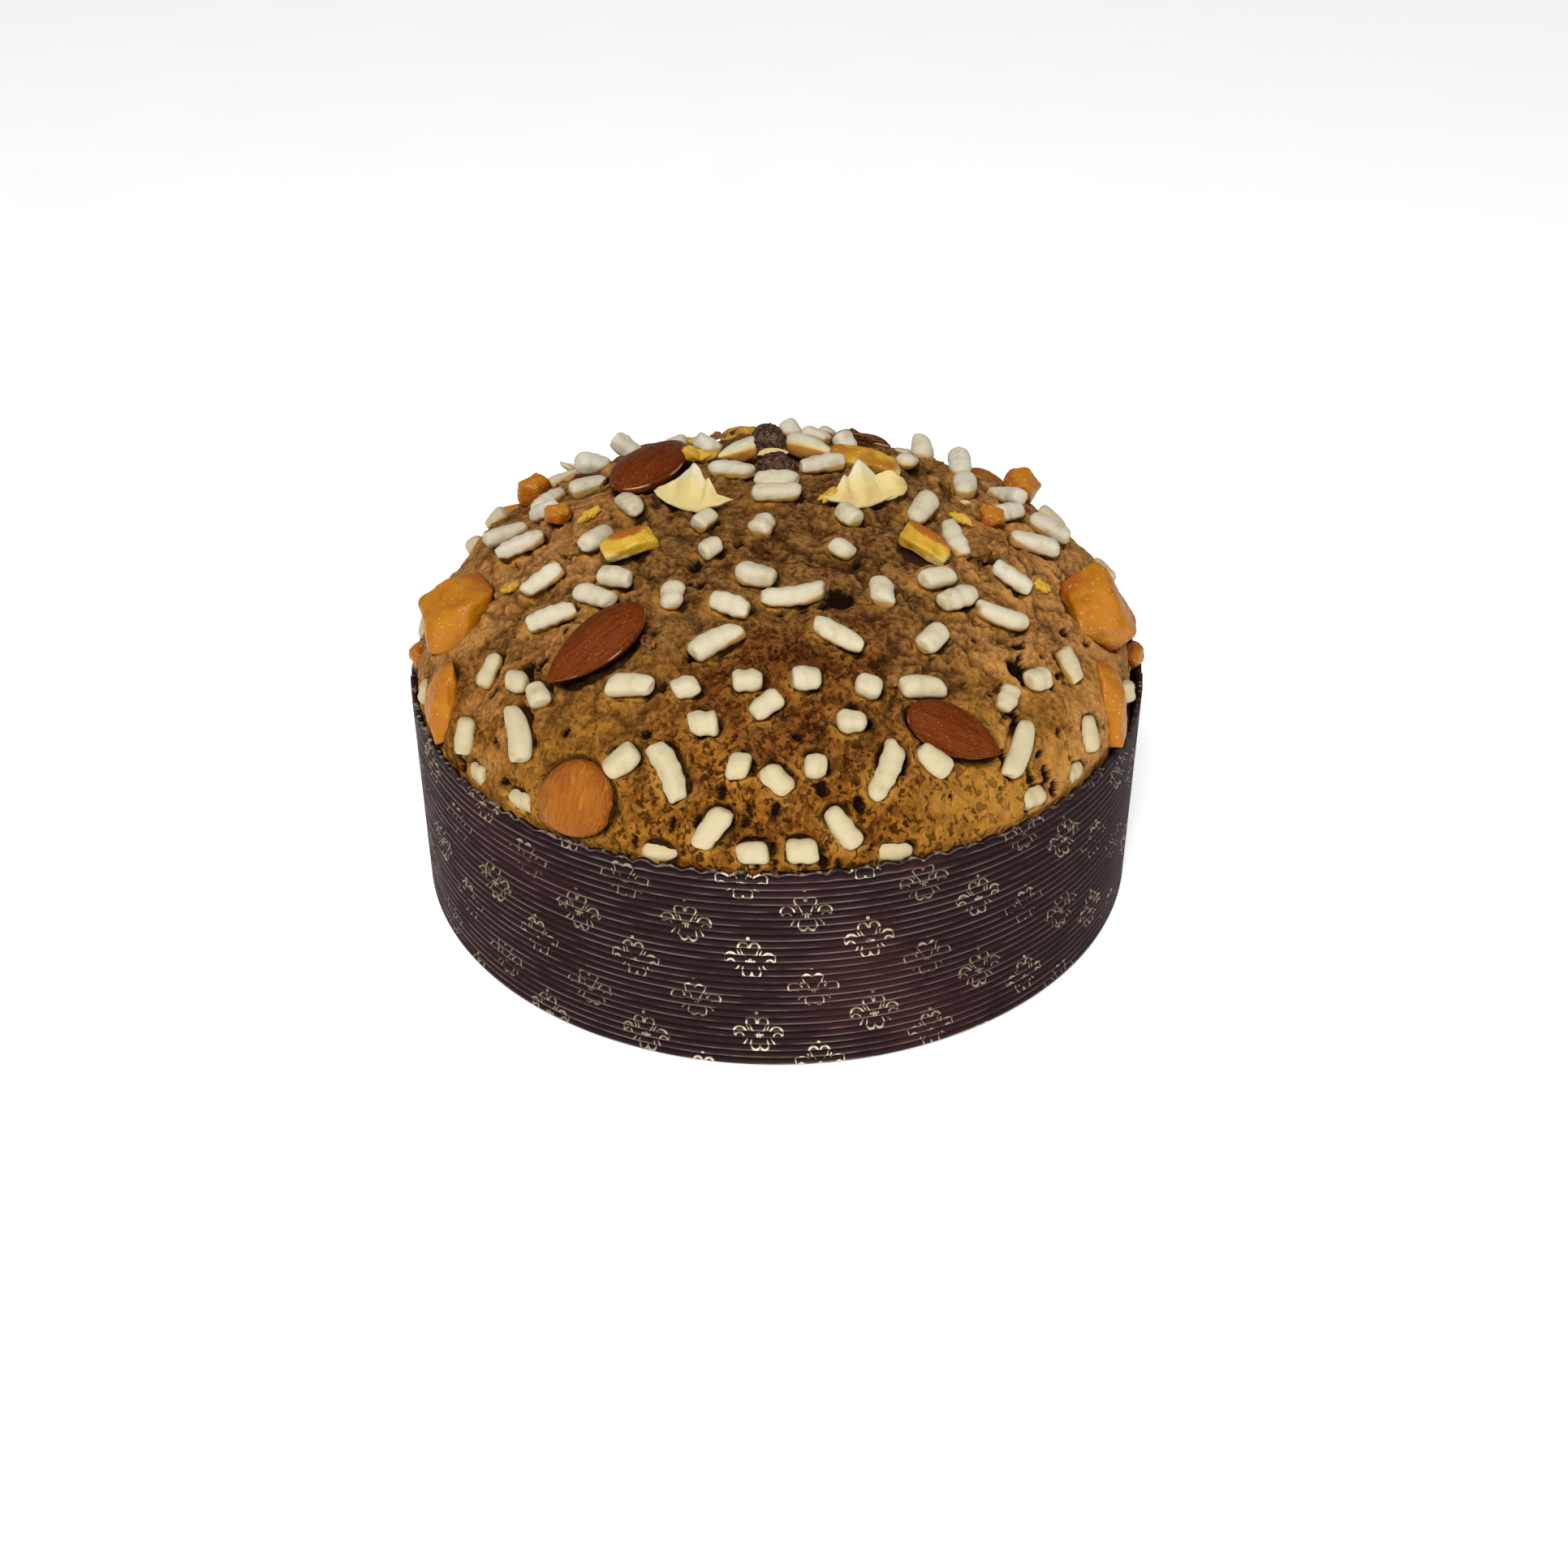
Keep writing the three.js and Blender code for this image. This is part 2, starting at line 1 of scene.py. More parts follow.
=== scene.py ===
"""The looks of a domed, leavened cake that stands in its pleated paper case.

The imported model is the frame, and most pieces here stand for nodes of it. A piece is shaped in
millimetres, with +Z up and the front towards -Y, and its finished mesh is in metres.
"""

from __future__ import annotations

import logging
import math
import random
from abc import ABC, abstractmethod
from collections.abc import Iterable, Iterator, Sequence
from dataclasses import dataclass, replace
from enum import Enum
from typing import ClassVar

import bmesh
import bpy
import numpy as np
from bpy.types import Material, Mesh, Node, NodeSocket, Object
from mathutils import Matrix, Vector, noise


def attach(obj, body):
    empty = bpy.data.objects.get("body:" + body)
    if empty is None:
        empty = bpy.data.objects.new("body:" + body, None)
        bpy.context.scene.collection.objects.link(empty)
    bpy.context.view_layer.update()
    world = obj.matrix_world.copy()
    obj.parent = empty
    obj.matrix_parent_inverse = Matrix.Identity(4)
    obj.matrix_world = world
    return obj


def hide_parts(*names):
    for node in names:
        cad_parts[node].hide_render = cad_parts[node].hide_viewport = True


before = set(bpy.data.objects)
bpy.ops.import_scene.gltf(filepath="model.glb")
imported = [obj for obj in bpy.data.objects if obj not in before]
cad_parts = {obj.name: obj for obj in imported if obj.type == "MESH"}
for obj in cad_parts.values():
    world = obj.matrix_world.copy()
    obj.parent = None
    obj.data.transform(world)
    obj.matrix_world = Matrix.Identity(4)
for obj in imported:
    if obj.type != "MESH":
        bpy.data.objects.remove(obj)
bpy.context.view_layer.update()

LOG = logging.getLogger("cake")
MM = 0.001  # metres
BODY = "root"

Array = np.ndarray
Colour = tuple[int, int, int]
Span = tuple[float, float]
Triple = tuple[float, float, float]
Source = NodeSocket | float | tuple[float, ...]

WHITE: Colour = (255, 255, 255)


# ---- Numbers and meshes ----


def linear(colour: Colour) -> tuple[float, float, float, float]:
    """A screen colour as the renderer's own light values.

    Args:
        colour: Red, green and blue from 0 to 255.

    Returns:
        Red, green, blue and alpha in linear light.
    """
    parts = [part / 255 for part in colour]
    curve = [c / 12.92 if c <= 0.04045 else ((c + 0.055) / 1.055) ** 2.4 for c in parts]
    return (curve[0], curve[1], curve[2], 1.0)


def smooth(value: Array, low: float, high: float) -> Array:
    """0 below low, 1 above high, and a smooth step between them."""
    share = np.clip((value - low) / (high - low), 0, 1)
    return share * share * (3 - 2 * share)


def ridge(value: Array, middle: float, width: float) -> Array:
    """1 at a middle value, and less the further a value is from it."""
    return np.exp(-(((value - middle) / width) ** 2))


def lumps(places: Array, size: float, octaves: int = 1, shift: float = 0.0) -> Array:
    """Smooth noise from about -1 to 1.

    Args:
        places: Points in millimetres, one a row.
        size: Size of a lump in millimetres.
        octaves: Number of layers, each half the size of the one before.
        shift: Moves the pattern, so that two layers of the same size differ.

    Returns:
        One value for each point.
    """
    rows = (places / size + shift).tolist()
    return np.array([noise.fractal(row, 1.0, 2.0, octaves) for row in rows])


def draws_from(seed: int) -> Iterator[float]:
    """Repeatable draws, the same as those of the part's source.

    Args:
        seed: Where they start.

    Yields:
        Numbers from 0 to 1.
    """
    state = seed
    while True:
        state = (state * 1664525 + 1013904223) % 4294967296
        yield state / 4294967296


def places_of(verts: Iterable[bmesh.types.BMVert]) -> Array:
    """The places of vertices, one a row."""
    return np.array([vertex.co[:] for vertex in verts])


def ball(bm: bmesh.types.BMesh, fineness: int) -> Array:
    """Adds a unit ball to a bmesh, and returns its points."""
    made = bmesh.ops.create_icosphere(bm, subdivisions=fineness, radius=1)
    return places_of(made["verts"])


def mesh_from(bm: bmesh.types.BMesh, name: str, places: Array) -> Mesh:
    """Turns a bmesh into a smooth mesh whose vertices lie at new places.

    Args:
        bm: The faces. It is freed.
        name: The mesh's name.
        places: The vertices' places in millimetres, in the frame.

    Returns:
        The mesh, in metres.
    """
    mesh = bpy.data.meshes.new(name)
    bm.to_mesh(mesh)
    bm.free()
    mesh.vertices.foreach_set("co", (places * MM).ravel())
    mesh.shade_smooth()
    mesh.update()
    return mesh


def note(mesh: Mesh, name: str, values: Array) -> None:
    """Keeps a number or a vector for each vertex, for the finish to read."""
    kind, key = ("FLOAT", "value") if values.ndim == 1 else ("FLOAT_VECTOR", "vector")
    mesh.attributes.new(name, kind, "POINT").data.foreach_set(key, values.ravel())


def show(mesh: Mesh, material: Material, slot: str, stands_for: Sequence[str] = ()) -> Object:
    """Puts a finished mesh in the scene as a piece of the cake.

    Args:
        mesh: The mesh, already in its place.
        material: Its finish.
        slot: The record's material slot that the finish belongs to. It is not used.
        stands_for: The nodes of the frame that the piece replaces.

    Returns:
        The piece.
    """
    piece = bpy.data.objects.new(mesh.name, mesh)
    bpy.context.scene.collection.objects.link(piece)
    mesh.materials.append(material)
    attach(piece, BODY)
    if stands_for:
        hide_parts(*stands_for)
    LOG.info("%s: %d faces", piece.name, len(mesh.polygons))
    return piece


# ---- Finishes ----


class Graph:
    """A material's nodes, wired by short calls."""

    MEASURES = ("DISTANCE", "DOT_PRODUCT", "LENGTH")  # sums on vectors that give a number

    def __init__(self, name: str) -> None:
        """Starts a material with a bare shader.

        Args:
            name: The material's name.
        """
        self.material = bpy.data.materials.new(name)
        self.material.use_nodes = True
        self.tree = self.material.node_tree
        self.tree.nodes.clear()
        self.shader = self.add("BsdfPrincipled")
        self.add("OutputMaterial", {"Surface": self.shader.outputs["BSDF"]})

    def add(
        self, kind: str, sources: dict[int | str, Source] | None = None, **settings: object
    ) -> Node:
        """Adds a node.

        Args:
            kind: Its type.
            sources: What feeds its sockets, by their numbers or names.
            settings: Its other settings.

        Returns:
            The node.
        """
        node = self.tree.nodes.new(f"ShaderNode{kind}")
        for name, value in settings.items():
            setattr(node, name, value)
        for key, source in (sources or {}).items():
            self.feed(node.inputs[key], source)
        return node

    def feed(self, socket: NodeSocket, source: Source) -> None:
        """Links a socket to another, or sets its number, vector or colour.

        Args:
            socket: The socket to feed.
            source: A socket, a number, a vector, or a colour from 0 to 255.
        """
        if isinstance(source, NodeSocket):
            self.tree.links.new(source, socket)
        else:
            socket.default_value = linear(source) if socket.type == "RGBA" else source

    def finished(self, **sources: Source) -> Material:
        """Feeds the shader's sockets, named with underscores for spaces.

        Args:
            sources: What feeds each socket.

        Returns:
            The material.
        """
        for name, source in sources.items():
            self.feed(self.shader.inputs[name.replace("_", " ")], source)
        return self.material

    def places(self) -> NodeSocket:
        """The place on the piece, in metres."""
        return self.add("TexCoord").outputs["Object"]

    def axes(self, place: NodeSocket) -> list[NodeSocket]:
        """The three parts of a place."""
        return list(self.add("SeparateXYZ", {0: place}).outputs)

    def noted(self, name: str, output: str = "Fac") -> NodeSocket:
        """What a mesh keeps for each vertex under a name."""
        return self.add("Attribute", attribute_name=name).outputs[output]

    def math(self, operation: str, *sources: Source) -> NodeSocket:
        """A sum on numbers."""
        return self.add("Math", dict(enumerate(sources)), operation=operation).outputs[0]

    def times(self, first: Source, second: Source) -> NodeSocket:
        """The product of two numbers."""
        return self.math("MULTIPLY", first, second)

    def vector(self, operation: str, *sources: Source) -> NodeSocket:
        """A sum on vectors."""
        node = self.add("VectorMath", dict(enumerate(sources)), operation=operation)
        return node.outputs["Value" if operation in self.MEASURES else "Vector"]

    def lumps(
        self, places: NodeSocket, size: float, detail: float = 2.0, warp: float = 0.0
    ) -> NodeSocket:
        """Noise from 0 to 1.

        Args:
            places: Where it is read.
            size: Size of a lump in millimetres.
            detail: Number of finer layers.
            warp: How much the lumps are swirled.

        Returns:
            The noise.
        """
        fed = {"Vector": places, "Scale": 1 / (size * MM), "Detail": detail, "Distortion": warp}
        return self.add("TexNoise", fed).outputs[0]

    def wandering(self, places: NodeSocket, size: float, reach: float) -> NodeSocket:
        """Places that stray a little to and fro.

        Args:
            places: Where they were.
            size: Size of a bend in millimetres.
            reach: How far they stray, in millimetres.

        Returns:
            Where they are then.
        """
        node = self.add("TexNoise", {"Vector": places, "Scale": 1 / (size * MM)})
        centred = self.vector("SUBTRACT", node.outputs["Color"], (0.5, 0.5, 0.5))
        return self.vector("ADD", places, self.vector("MULTIPLY", centred, (reach * MM,) * 3))

    def cells(self, places: NodeSocket, size: float) -> NodeSocket:
        """Distance to the nearest of scattered points a size in millimetres apart."""
        fed = {"Vector": places, "Scale": 1 / (size * MM)}
        return self.add("TexVoronoi", fed).outputs["Distance"]

    def step(self, value: Source, low: float, high: float, top: float = 1.0) -> NodeSocket:
        """A smooth step.

        Args:
            value: What it follows.
            low: Where it leaves 0. It may be the greater of the two.
            high: Where it reaches its top.
            top: Its greatest value.

        Returns:
            The step.
        """
        ends = (0.0, top) if low < high else (top, 0.0)
        numbers = (value, min(low, high), max(low, high), *ends)
        node = self.add("MapRange", dict(enumerate(numbers)), interpolation_type="SMOOTHSTEP")
        return node.outputs[0]

    def mix(self, share: Source, first: Source, second: Source) -> NodeSocket:
        """Two colours mixed by a share of the second."""
        return self.add("Mix", {0: share, 6: first, 7: second}, data_type="RGBA").outputs[2]

    def layered(self, base: Source, *layers: tuple[Source, Source]) -> NodeSocket:
        """A colour with others laid over it.

        Args:
            base: The first colour.
            layers: The share and the colour of each of the others.

        Returns:
            The colour.
        """
        for share, colour in layers:
            base = self.mix(share, base, colour)
        return base

    def relief(
        self, height: NodeSocket, depth: float, under: NodeSocket | None = None
    ) -> NodeSocket:
        """A bumped normal.

        Args:
            height: The relief, from 0 to 1.
            depth: How many millimetres the relief is deep.
            under: A bumped normal that this one goes over.

        Returns:
            The normal.
        """
        sources = {"Distance": depth * MM, "Height": height}
        if under is not None:
            sources["Normal"] = under
        return self.add("Bump", sources).outputs[0]


@dataclass(frozen=True)
class Finish(ABC):
    """The look of one kind of piece."""

    @abstractmethod
    def material(self) -> Material:
        """The look as a material."""


@dataclass(frozen=True)
class GlazeFinish(Finish):
    """Baked nut glaze: cocoa brown above, golden low down, porous, with pits and cracks darkened by
    painted shade.
    """

    cocoa: Colour = (119, 79, 38)
    golden: Colour = (122, 73, 17)
    heart: Colour = (106, 57, 18)
    film: Colour = (172, 118, 62)
    # caramel round the nibs, with painted light on their lit side and at the front's sides
    caramel: Colour = (186, 132, 54)
    # painted shade in cracks, pits, creases, crevices and pockets
    pit: Colour = (26, 12, 6)
    # dark blotches, and painted shade in the pores
    blotch_and_pore_shade: Colour = (52, 20, 5)
    darkest: Triple = (0.38, 0.27, 0.22)  # shares of a colour where the tone is low: painted shade in the hollows of the relief, partly random tone
    lightest: Triple = (1.48, 1.64, 1.78)  # and where it is high: painted highlight on the crumbs, partly random tone
    streak: Triple = (1.0, 1.0, 0.7)  # the crumbs are longer up the slope
    crumb_size: float = 1.2
    clump_size: float = 5.0
    broad_size: float = 12.0
    crumb_share: float = 0.45
    clump_share: float = 0.35
    broad_share: float = 0.2
    contrast: Span = (0.39, 0.6)
    calm: float = 0.5  # how far the film evens out the tones
    middle_tone: float = 0.55
    blotch_size: float = 1.7
    pore_spacing: float = 2.1
    rough_size: float = 11.0
    crumb_depth: float = 0.8
    clump_depth: float = 1.5
    pore_depth: float = 0.7

    def material(self) -> Material:
        """The look as a material that reads the crust's notes."""
        g = Graph("crust_glaze")
        at = g.places()
        film = g.noted("film")
        streaked = g.vector("MULTIPLY", at, self.streak)
        crumb = g.lumps(streaked, self.crumb_size, 4, 0.2)
        clump = g.lumps(at, self.clump_size, 4, 0.8)
        broad = g.lumps(at, self.broad_size, 4, 0.5)
        tone = g.math("MULTIPLY_ADD", clump, self.clump_share, g.times(broad, self.broad_share))
        tone = g.step(g.math("MULTIPLY_ADD", crumb, self.crumb_share, tone), *self.contrast)
        off = g.math("SUBTRACT", self.middle_tone, tone)
        tone = g.math("MULTIPLY_ADD", g.times(film, self.calm), off, tone)
        base = g.layered(
            self.cocoa,
            (g.noted("golden"), self.golden),
            (g.noted("heart"), self.heart),
            (film, self.film),
        )
        # the tones follow the noise of the relief: painted shade in its hollows and painted
        # highlight on its crumbs
        dark = g.vector("MULTIPLY", base, self.darkest)
        light = g.vector("MULTIPLY", base, self.lightest)
        # dark blotches of the glaze, and pores darkened as painted shade where the relief sinks
        # them
        blotches = g.step(g.lumps(streaked, self.blotch_size, 6, 0.8), 0.46, 0.36, 0.85)
        pores = g.step(g.cells(g.wandering(at, 1.5, 0.9), self.pore_spacing), 0.32, 0.14, 0.95)
        pores = g.times(pores, g.step(g.lumps(at, self.clump_size, 2), 0.4, 0.56))
        dark_blotch_and_pore_share = g.times(g.math("MAXIMUM", blotches, pores), g.noted("porous"))
        base = g.layered(
            g.mix(tone, dark, light),
            (g.noted("halo"), self.caramel),
            (dark_blotch_and_pore_share, self.blotch_and_pore_shade),
            (g.noted("hollow"), self.pit),
        )
        rough = g.times(crumb, g.step(g.lumps(at, self.rough_size, 2), 0.35, 0.6))
        normal = g.relief(clump, self.clump_depth, g.relief(rough, self.crumb_depth))
        normal = g.relief(g.math("SUBTRACT", 1.0, dark_blotch_and_pore_share), self.pore_depth, normal)
        return g.finished(Base_Color=base, Normal=normal, Roughness=0.62, Specular_IOR_Level=0.03)


@dataclass(frozen=True)
class SugarFinish(Finish):
    """Pressed ivory sugar, with syrup drawn up from the crust at its foot, and painted light on the
    nibs behind and to the sides.
    """

    ivory: Colour = (194, 180, 144)
    pale: Colour = (202, 192, 164)
    white: Colour = (216, 211, 196)
    cream: Colour = (178, 158, 108)
    syrup: Colour = (178, 134, 66)
    paling: Span = (0.078, 0.1)  # heights in metres between which the nibs grow paler
    behind: Span = (0.005, 0.035)  # metres back, and
    aside: Span = (0.04, 0.06)  # metres to a side, between which painted light makes them whiter
    whiteness: float = 0.6
    cloud_size: float = 3.5
    grain_size: float = 0.8
    grain_depth: float = 0.1

    def material(self) -> Material:
        """The look as a material that reads how near the crust is."""
        g = Graph("pearl_sugar")
        at = g.places()
        x, y, z = g.axes(at)
        # painted light: the nibs behind and to the sides grow whiter, the higher they lie
        far = g.math("MAXIMUM", g.step(y, *self.behind), g.step(g.math("ABSOLUTE", x), *self.aside))
        base = g.layered(
            self.ivory,
            (g.step(z, *self.paling), self.pale),
            (g.times(far, g.step(z, *self.paling, self.whiteness)), self.white),
            (g.step(g.lumps(at, self.cloud_size, 3), 0.5, 0.75, 0.6), self.cream),
            (g.noted("soak"), self.syrup),
        )
        g.finished(Subsurface_Weight=0.2, Subsurface_Scale=0.001)
        grain = g.relief(g.lumps(at, self.grain_size, 3), self.grain_depth)
        return g.finished(Base_Color=base, Normal=grain, Roughness=0.6, Specular_IOR_Level=0.2)


@dataclass(frozen=True)
class AlmondSkinFinish(Finish):
    """Wrinkled red-brown skin of a whole almond, dusted in its furrows, which painted shade
    darkens.
    """

    skin: Colour = (106, 46, 8)
    furrow_shade: Colour = (76, 31, 8)
    dust: Colour = (176, 112, 60)
    cream: Colour = (214, 180, 128)
    wrinkle_size: float = 1000.0  # in the units of the noted grain
    fineness: Triple = (2.6, 2.0, 2.6)  # how much finer the finest wrinkles are
    speck_spacing: float = 1.1
    wrinkle_depth: float = 0.4
    fine_depth: float = 0.1

    def material(self) -> Material:
        """The look as a material whose wrinkles run along the almond."""
        g = Graph("almond_skin")
        grain = g.noted("grain", "Vector")
        wrinkles = g.lumps(grain, self.wrinkle_size, 4, 0.3)
        fine = g.lumps(g.vector("MULTIPLY", grain, self.fineness), self.wrinkle_size, 3)
        base = g.layered(
            self.skin,
            # painted shade, partly skin tone: darker where the wrinkles sink
            (g.step(wrinkles, 0.56, 0.36, 0.6), self.furrow_shade),
            (g.step(fine, 0.6, 0.75, 0.3), self.dust),
            (g.step(g.cells(g.places(), self.speck_spacing), 0.2, 0.1, 0.5), self.dust),
            (g.noted("split"), self.cream),
        )
        normal = g.relief(fine, self.fine_depth, g.relief(wrinkles, self.wrinkle_depth))
        return g.finished(Base_Color=base, Normal=normal, Roughness=0.5, Specular_IOR_Level=0.06)


@dataclass(frozen=True)
class ToastedFinish(Finish):
    """Smooth tan side of a toasted almond with fine creases."""

    tan: Colour = (154, 88, 15)
    brown: Colour = (142, 75, 12)
    light: Colour = (170, 108, 30)
    cloud_size: float = 7.0
    crease_size: float = 1400.0  # in the units of the noted grain
    crease_depth: float = 1.1

    def material(self) -> Material:
        """The look as a material whose creases follow the grain."""
        g = Graph("toasted_almond")
        creases = g.lumps(g.noted("grain", "Vector"), self.crease_size, 5, 1.2)
        base = g.layered(
            self.tan,
            (g.step(g.lumps(g.places(), self.cloud_size, 3), 0.35, 0.65), self.brown),
            (g.step(creases, 0.52, 0.7, 0.7), self.light),
        )
        normal = g.relief(creases, self.crease_depth)
        return g.finished(Base_Color=base, Normal=normal, Roughness=0.5, Specular_IOR_Level=0.15)


@dataclass(frozen=True)
class AlmondFleshFinish(Finish):
    """Pale broken almond, whiter at its thin tips and tan where the skin is left."""

    flesh: Colour = (214, 194, 130)
    white: Colour = (208, 202, 176)
    tan: Colour = (186, 124, 52)
    cloud_size: float = 4.0
    grain_size: float = 1.6
    grain_depth: float = 0.2

    def material(self) -> Material:
        """The look as a material that reads where the tips and the skin are."""
        g = Graph("almond_flesh")
        at = g.places()
        base = g.layered(
            self.flesh,
            (g.noted("tip"), self.white),
            (g.noted("rind"), self.tan),
            (g.step(g.lumps(at, self.cloud_size, 3), 0.5, 0.75, 0.3), self.tan),
        )
        g.finished(Subsurface_Weight=0.25, Subsurface_Scale=0.0012)
        normal = g.relief(g.lumps(at, self.grain_size, 3), self.grain_depth)
        return g.finished(Base_Color=base, Normal=normal, Roughness=0.5, Specular_IOR_Level=0.2)


@dataclass(frozen=True)
class CandiedFinish(Finish):
    """Translucent candied fruit or peel, with sugar crystals in a sticky gloss."""

    name: str
    flesh: Colour
    deep: Colour
    rind: Colour
    crystal: Colour = (240, 206, 140)
    cream: Colour = (214, 186, 112)
    cloud_size: float = 5.0
    crystal_spacing: float = 1.3
    crystal_share: float = 0.55
    crystal_depth: float = 0.1
    wrinkle_size: float = 2.2
    wrinkle_depth: float = 0.4

    def material(self) -> Material:
        """The look as a material that reads where the rind is."""
        g = Graph(self.name)
        at = g.places()
        crystals = g.step(g.cells(at, self.crystal_spacing), 0.2, 0.08, self.crystal_share)
        base = g.layered(
            self.flesh,
            (g.step(g.lumps(at, self.cloud_size, 4, 0.5), 0.4, 0.68), self.deep),
            (g.noted("rind"), self.rind),
            (g.noted("tip"), self.cream),
            (crystals, self.crystal),
        )
        g.finished(Subsurface_Weight=0.2, Subsurface_Scale=0.002)
        wrinkles = g.relief(g.lumps(at, self.wrinkle_size, 4), self.wrinkle_depth)
        normal = g.relief(crystals, self.crystal_depth, wrinkles)
        return g.finished(Base_Color=base, Normal=normal, Roughness=0.4, Specular_IOR_Level=0.25)


@dataclass(frozen=True)
class CocoaFinish(Finish):
    """Coarse dark roasted cocoa with paler grains."""

    dark: Colour = (48, 28, 20)
    brown: Colour = (92, 64, 46)
    grain: Colour = (150, 122, 98)
    lump_size: float = 1.2
    grain_size: float = 0.6
    lump_depth: float = 0.8

    def material(self) -> Material:
        """The look as a material."""
        g = Graph("cocoa_nib")
        at = g.places()
        rough = g.lumps(at, self.lump_size, 4)
        base = g.layered(
            self.dark,
            (g.step(rough, 0.4, 0.62), self.brown),
            (g.step(g.lumps(at, self.grain_size, 2), 0.6, 0.7, 0.7), self.grain),
        )
        normal = g.relief(rough, self.lump_depth)
        return g.finished(Base_Color=base, Normal=normal, Roughness=0.8, Specular_IOR_Level=0.2)


@dataclass(frozen=True)
class Arc:
    """A round stroke of the print that is cut off level, in millimetres from a flower's middle."""

    x: float
    y: float
    radius: float
    cut: float
    facing: int  # 1 where the part over the cut is kept, -1 where it is the part under it
    thick: float  # half the stroke's width

    def away(self, g: Graph, place: NodeSocket, up: NodeSocket) -> NodeSocket:
        """How far a place is from the stroke.

        Args:
            g: The material.
            place: The place on the flower.
            up: Its height.

        Returns:
            The distance, below zero on the stroke.
        """
        middle = g.vector("DISTANCE", place, (self.x, self.y, 0.0))
        off = g.math("ABSOLUTE", g.math("SUBTRACT", middle, self.radius))
        past = g.times(g.math("SUBTRACT", self.cut, up), float(self.facing))
        return g.math("MAXIMUM", g.math("SUBTRACT", off, self.thick), past)


@dataclass(frozen=True)
class Line:
    """A straight stroke of the print, in millimetres from a flower's middle."""

    x: float
    y: float
    to_x: float
    to_y: float
    thick: float  # half the stroke's width

    def away(self, g: Graph, place: NodeSocket, up: NodeSocket) -> NodeSocket:
        """How far a place is from the stroke.

        Args:
            g: The material.
            place: The place on the flower.
            up: Its height, which a straight stroke has no use for.

        Returns:
            The distance, below zero on the stroke.
        """
        run = Vector((self.to_x - self.x, self.to_y - self.y, 0.0))
        offset = g.vector("SUBTRACT", place, (self.x, self.y, 0.0))
        along = g.vector("DOT_PRODUCT", offset, tuple(run / run.length_squared))
        held = g.math("MINIMUM", g.math("MAXIMUM", along, 0.0), 1.0)
        reach = g.vector("MULTIPLY", tuple(run), held)
        return g.math("SUBTRACT", g.vector("DISTANCE", offset, reach), self.thick)


FLOWER = (  # the right half of a flower, which the left half mirrors
    Arc(1.35, 3.95, 1.2, 3.9, 1, 0.2),
    Line(2.5, 3.9, 1.0, 1.2, 0.08),
    Line(1.95, 2.9, 1.55, 2.0, 0.1),
    Line(2.8, 2.9, 2.2, 2.0, 0.12),
    Arc(4.3, 0.75, 1.7, 1.3, 1, 0.17),
    Line(5.85, 1.3, 5.7, 0.1, 0.12),
    Arc(4.5, -0.6, 1.1, -0.1, 1, 0.15),
    Line(0.0, 0.1, 1.0, 0.15, 0.17),
    Line(0.2, 0.5, 0.3, -0.4, 0.12),
    Line(1.85, -1.7, 2.2, -2.7, 0.13),
    Line(2.8, -1.5, 3.7, -2.5, 0.13),
    Line(2.1, -2.9, 2.05, -3.5, 0.08),
    Arc(1.05, -3.3, 1.05, -3.3, -1, 0.18),
    Line(0.0, 6.7, 0.12, 6.7, 0.28),
)


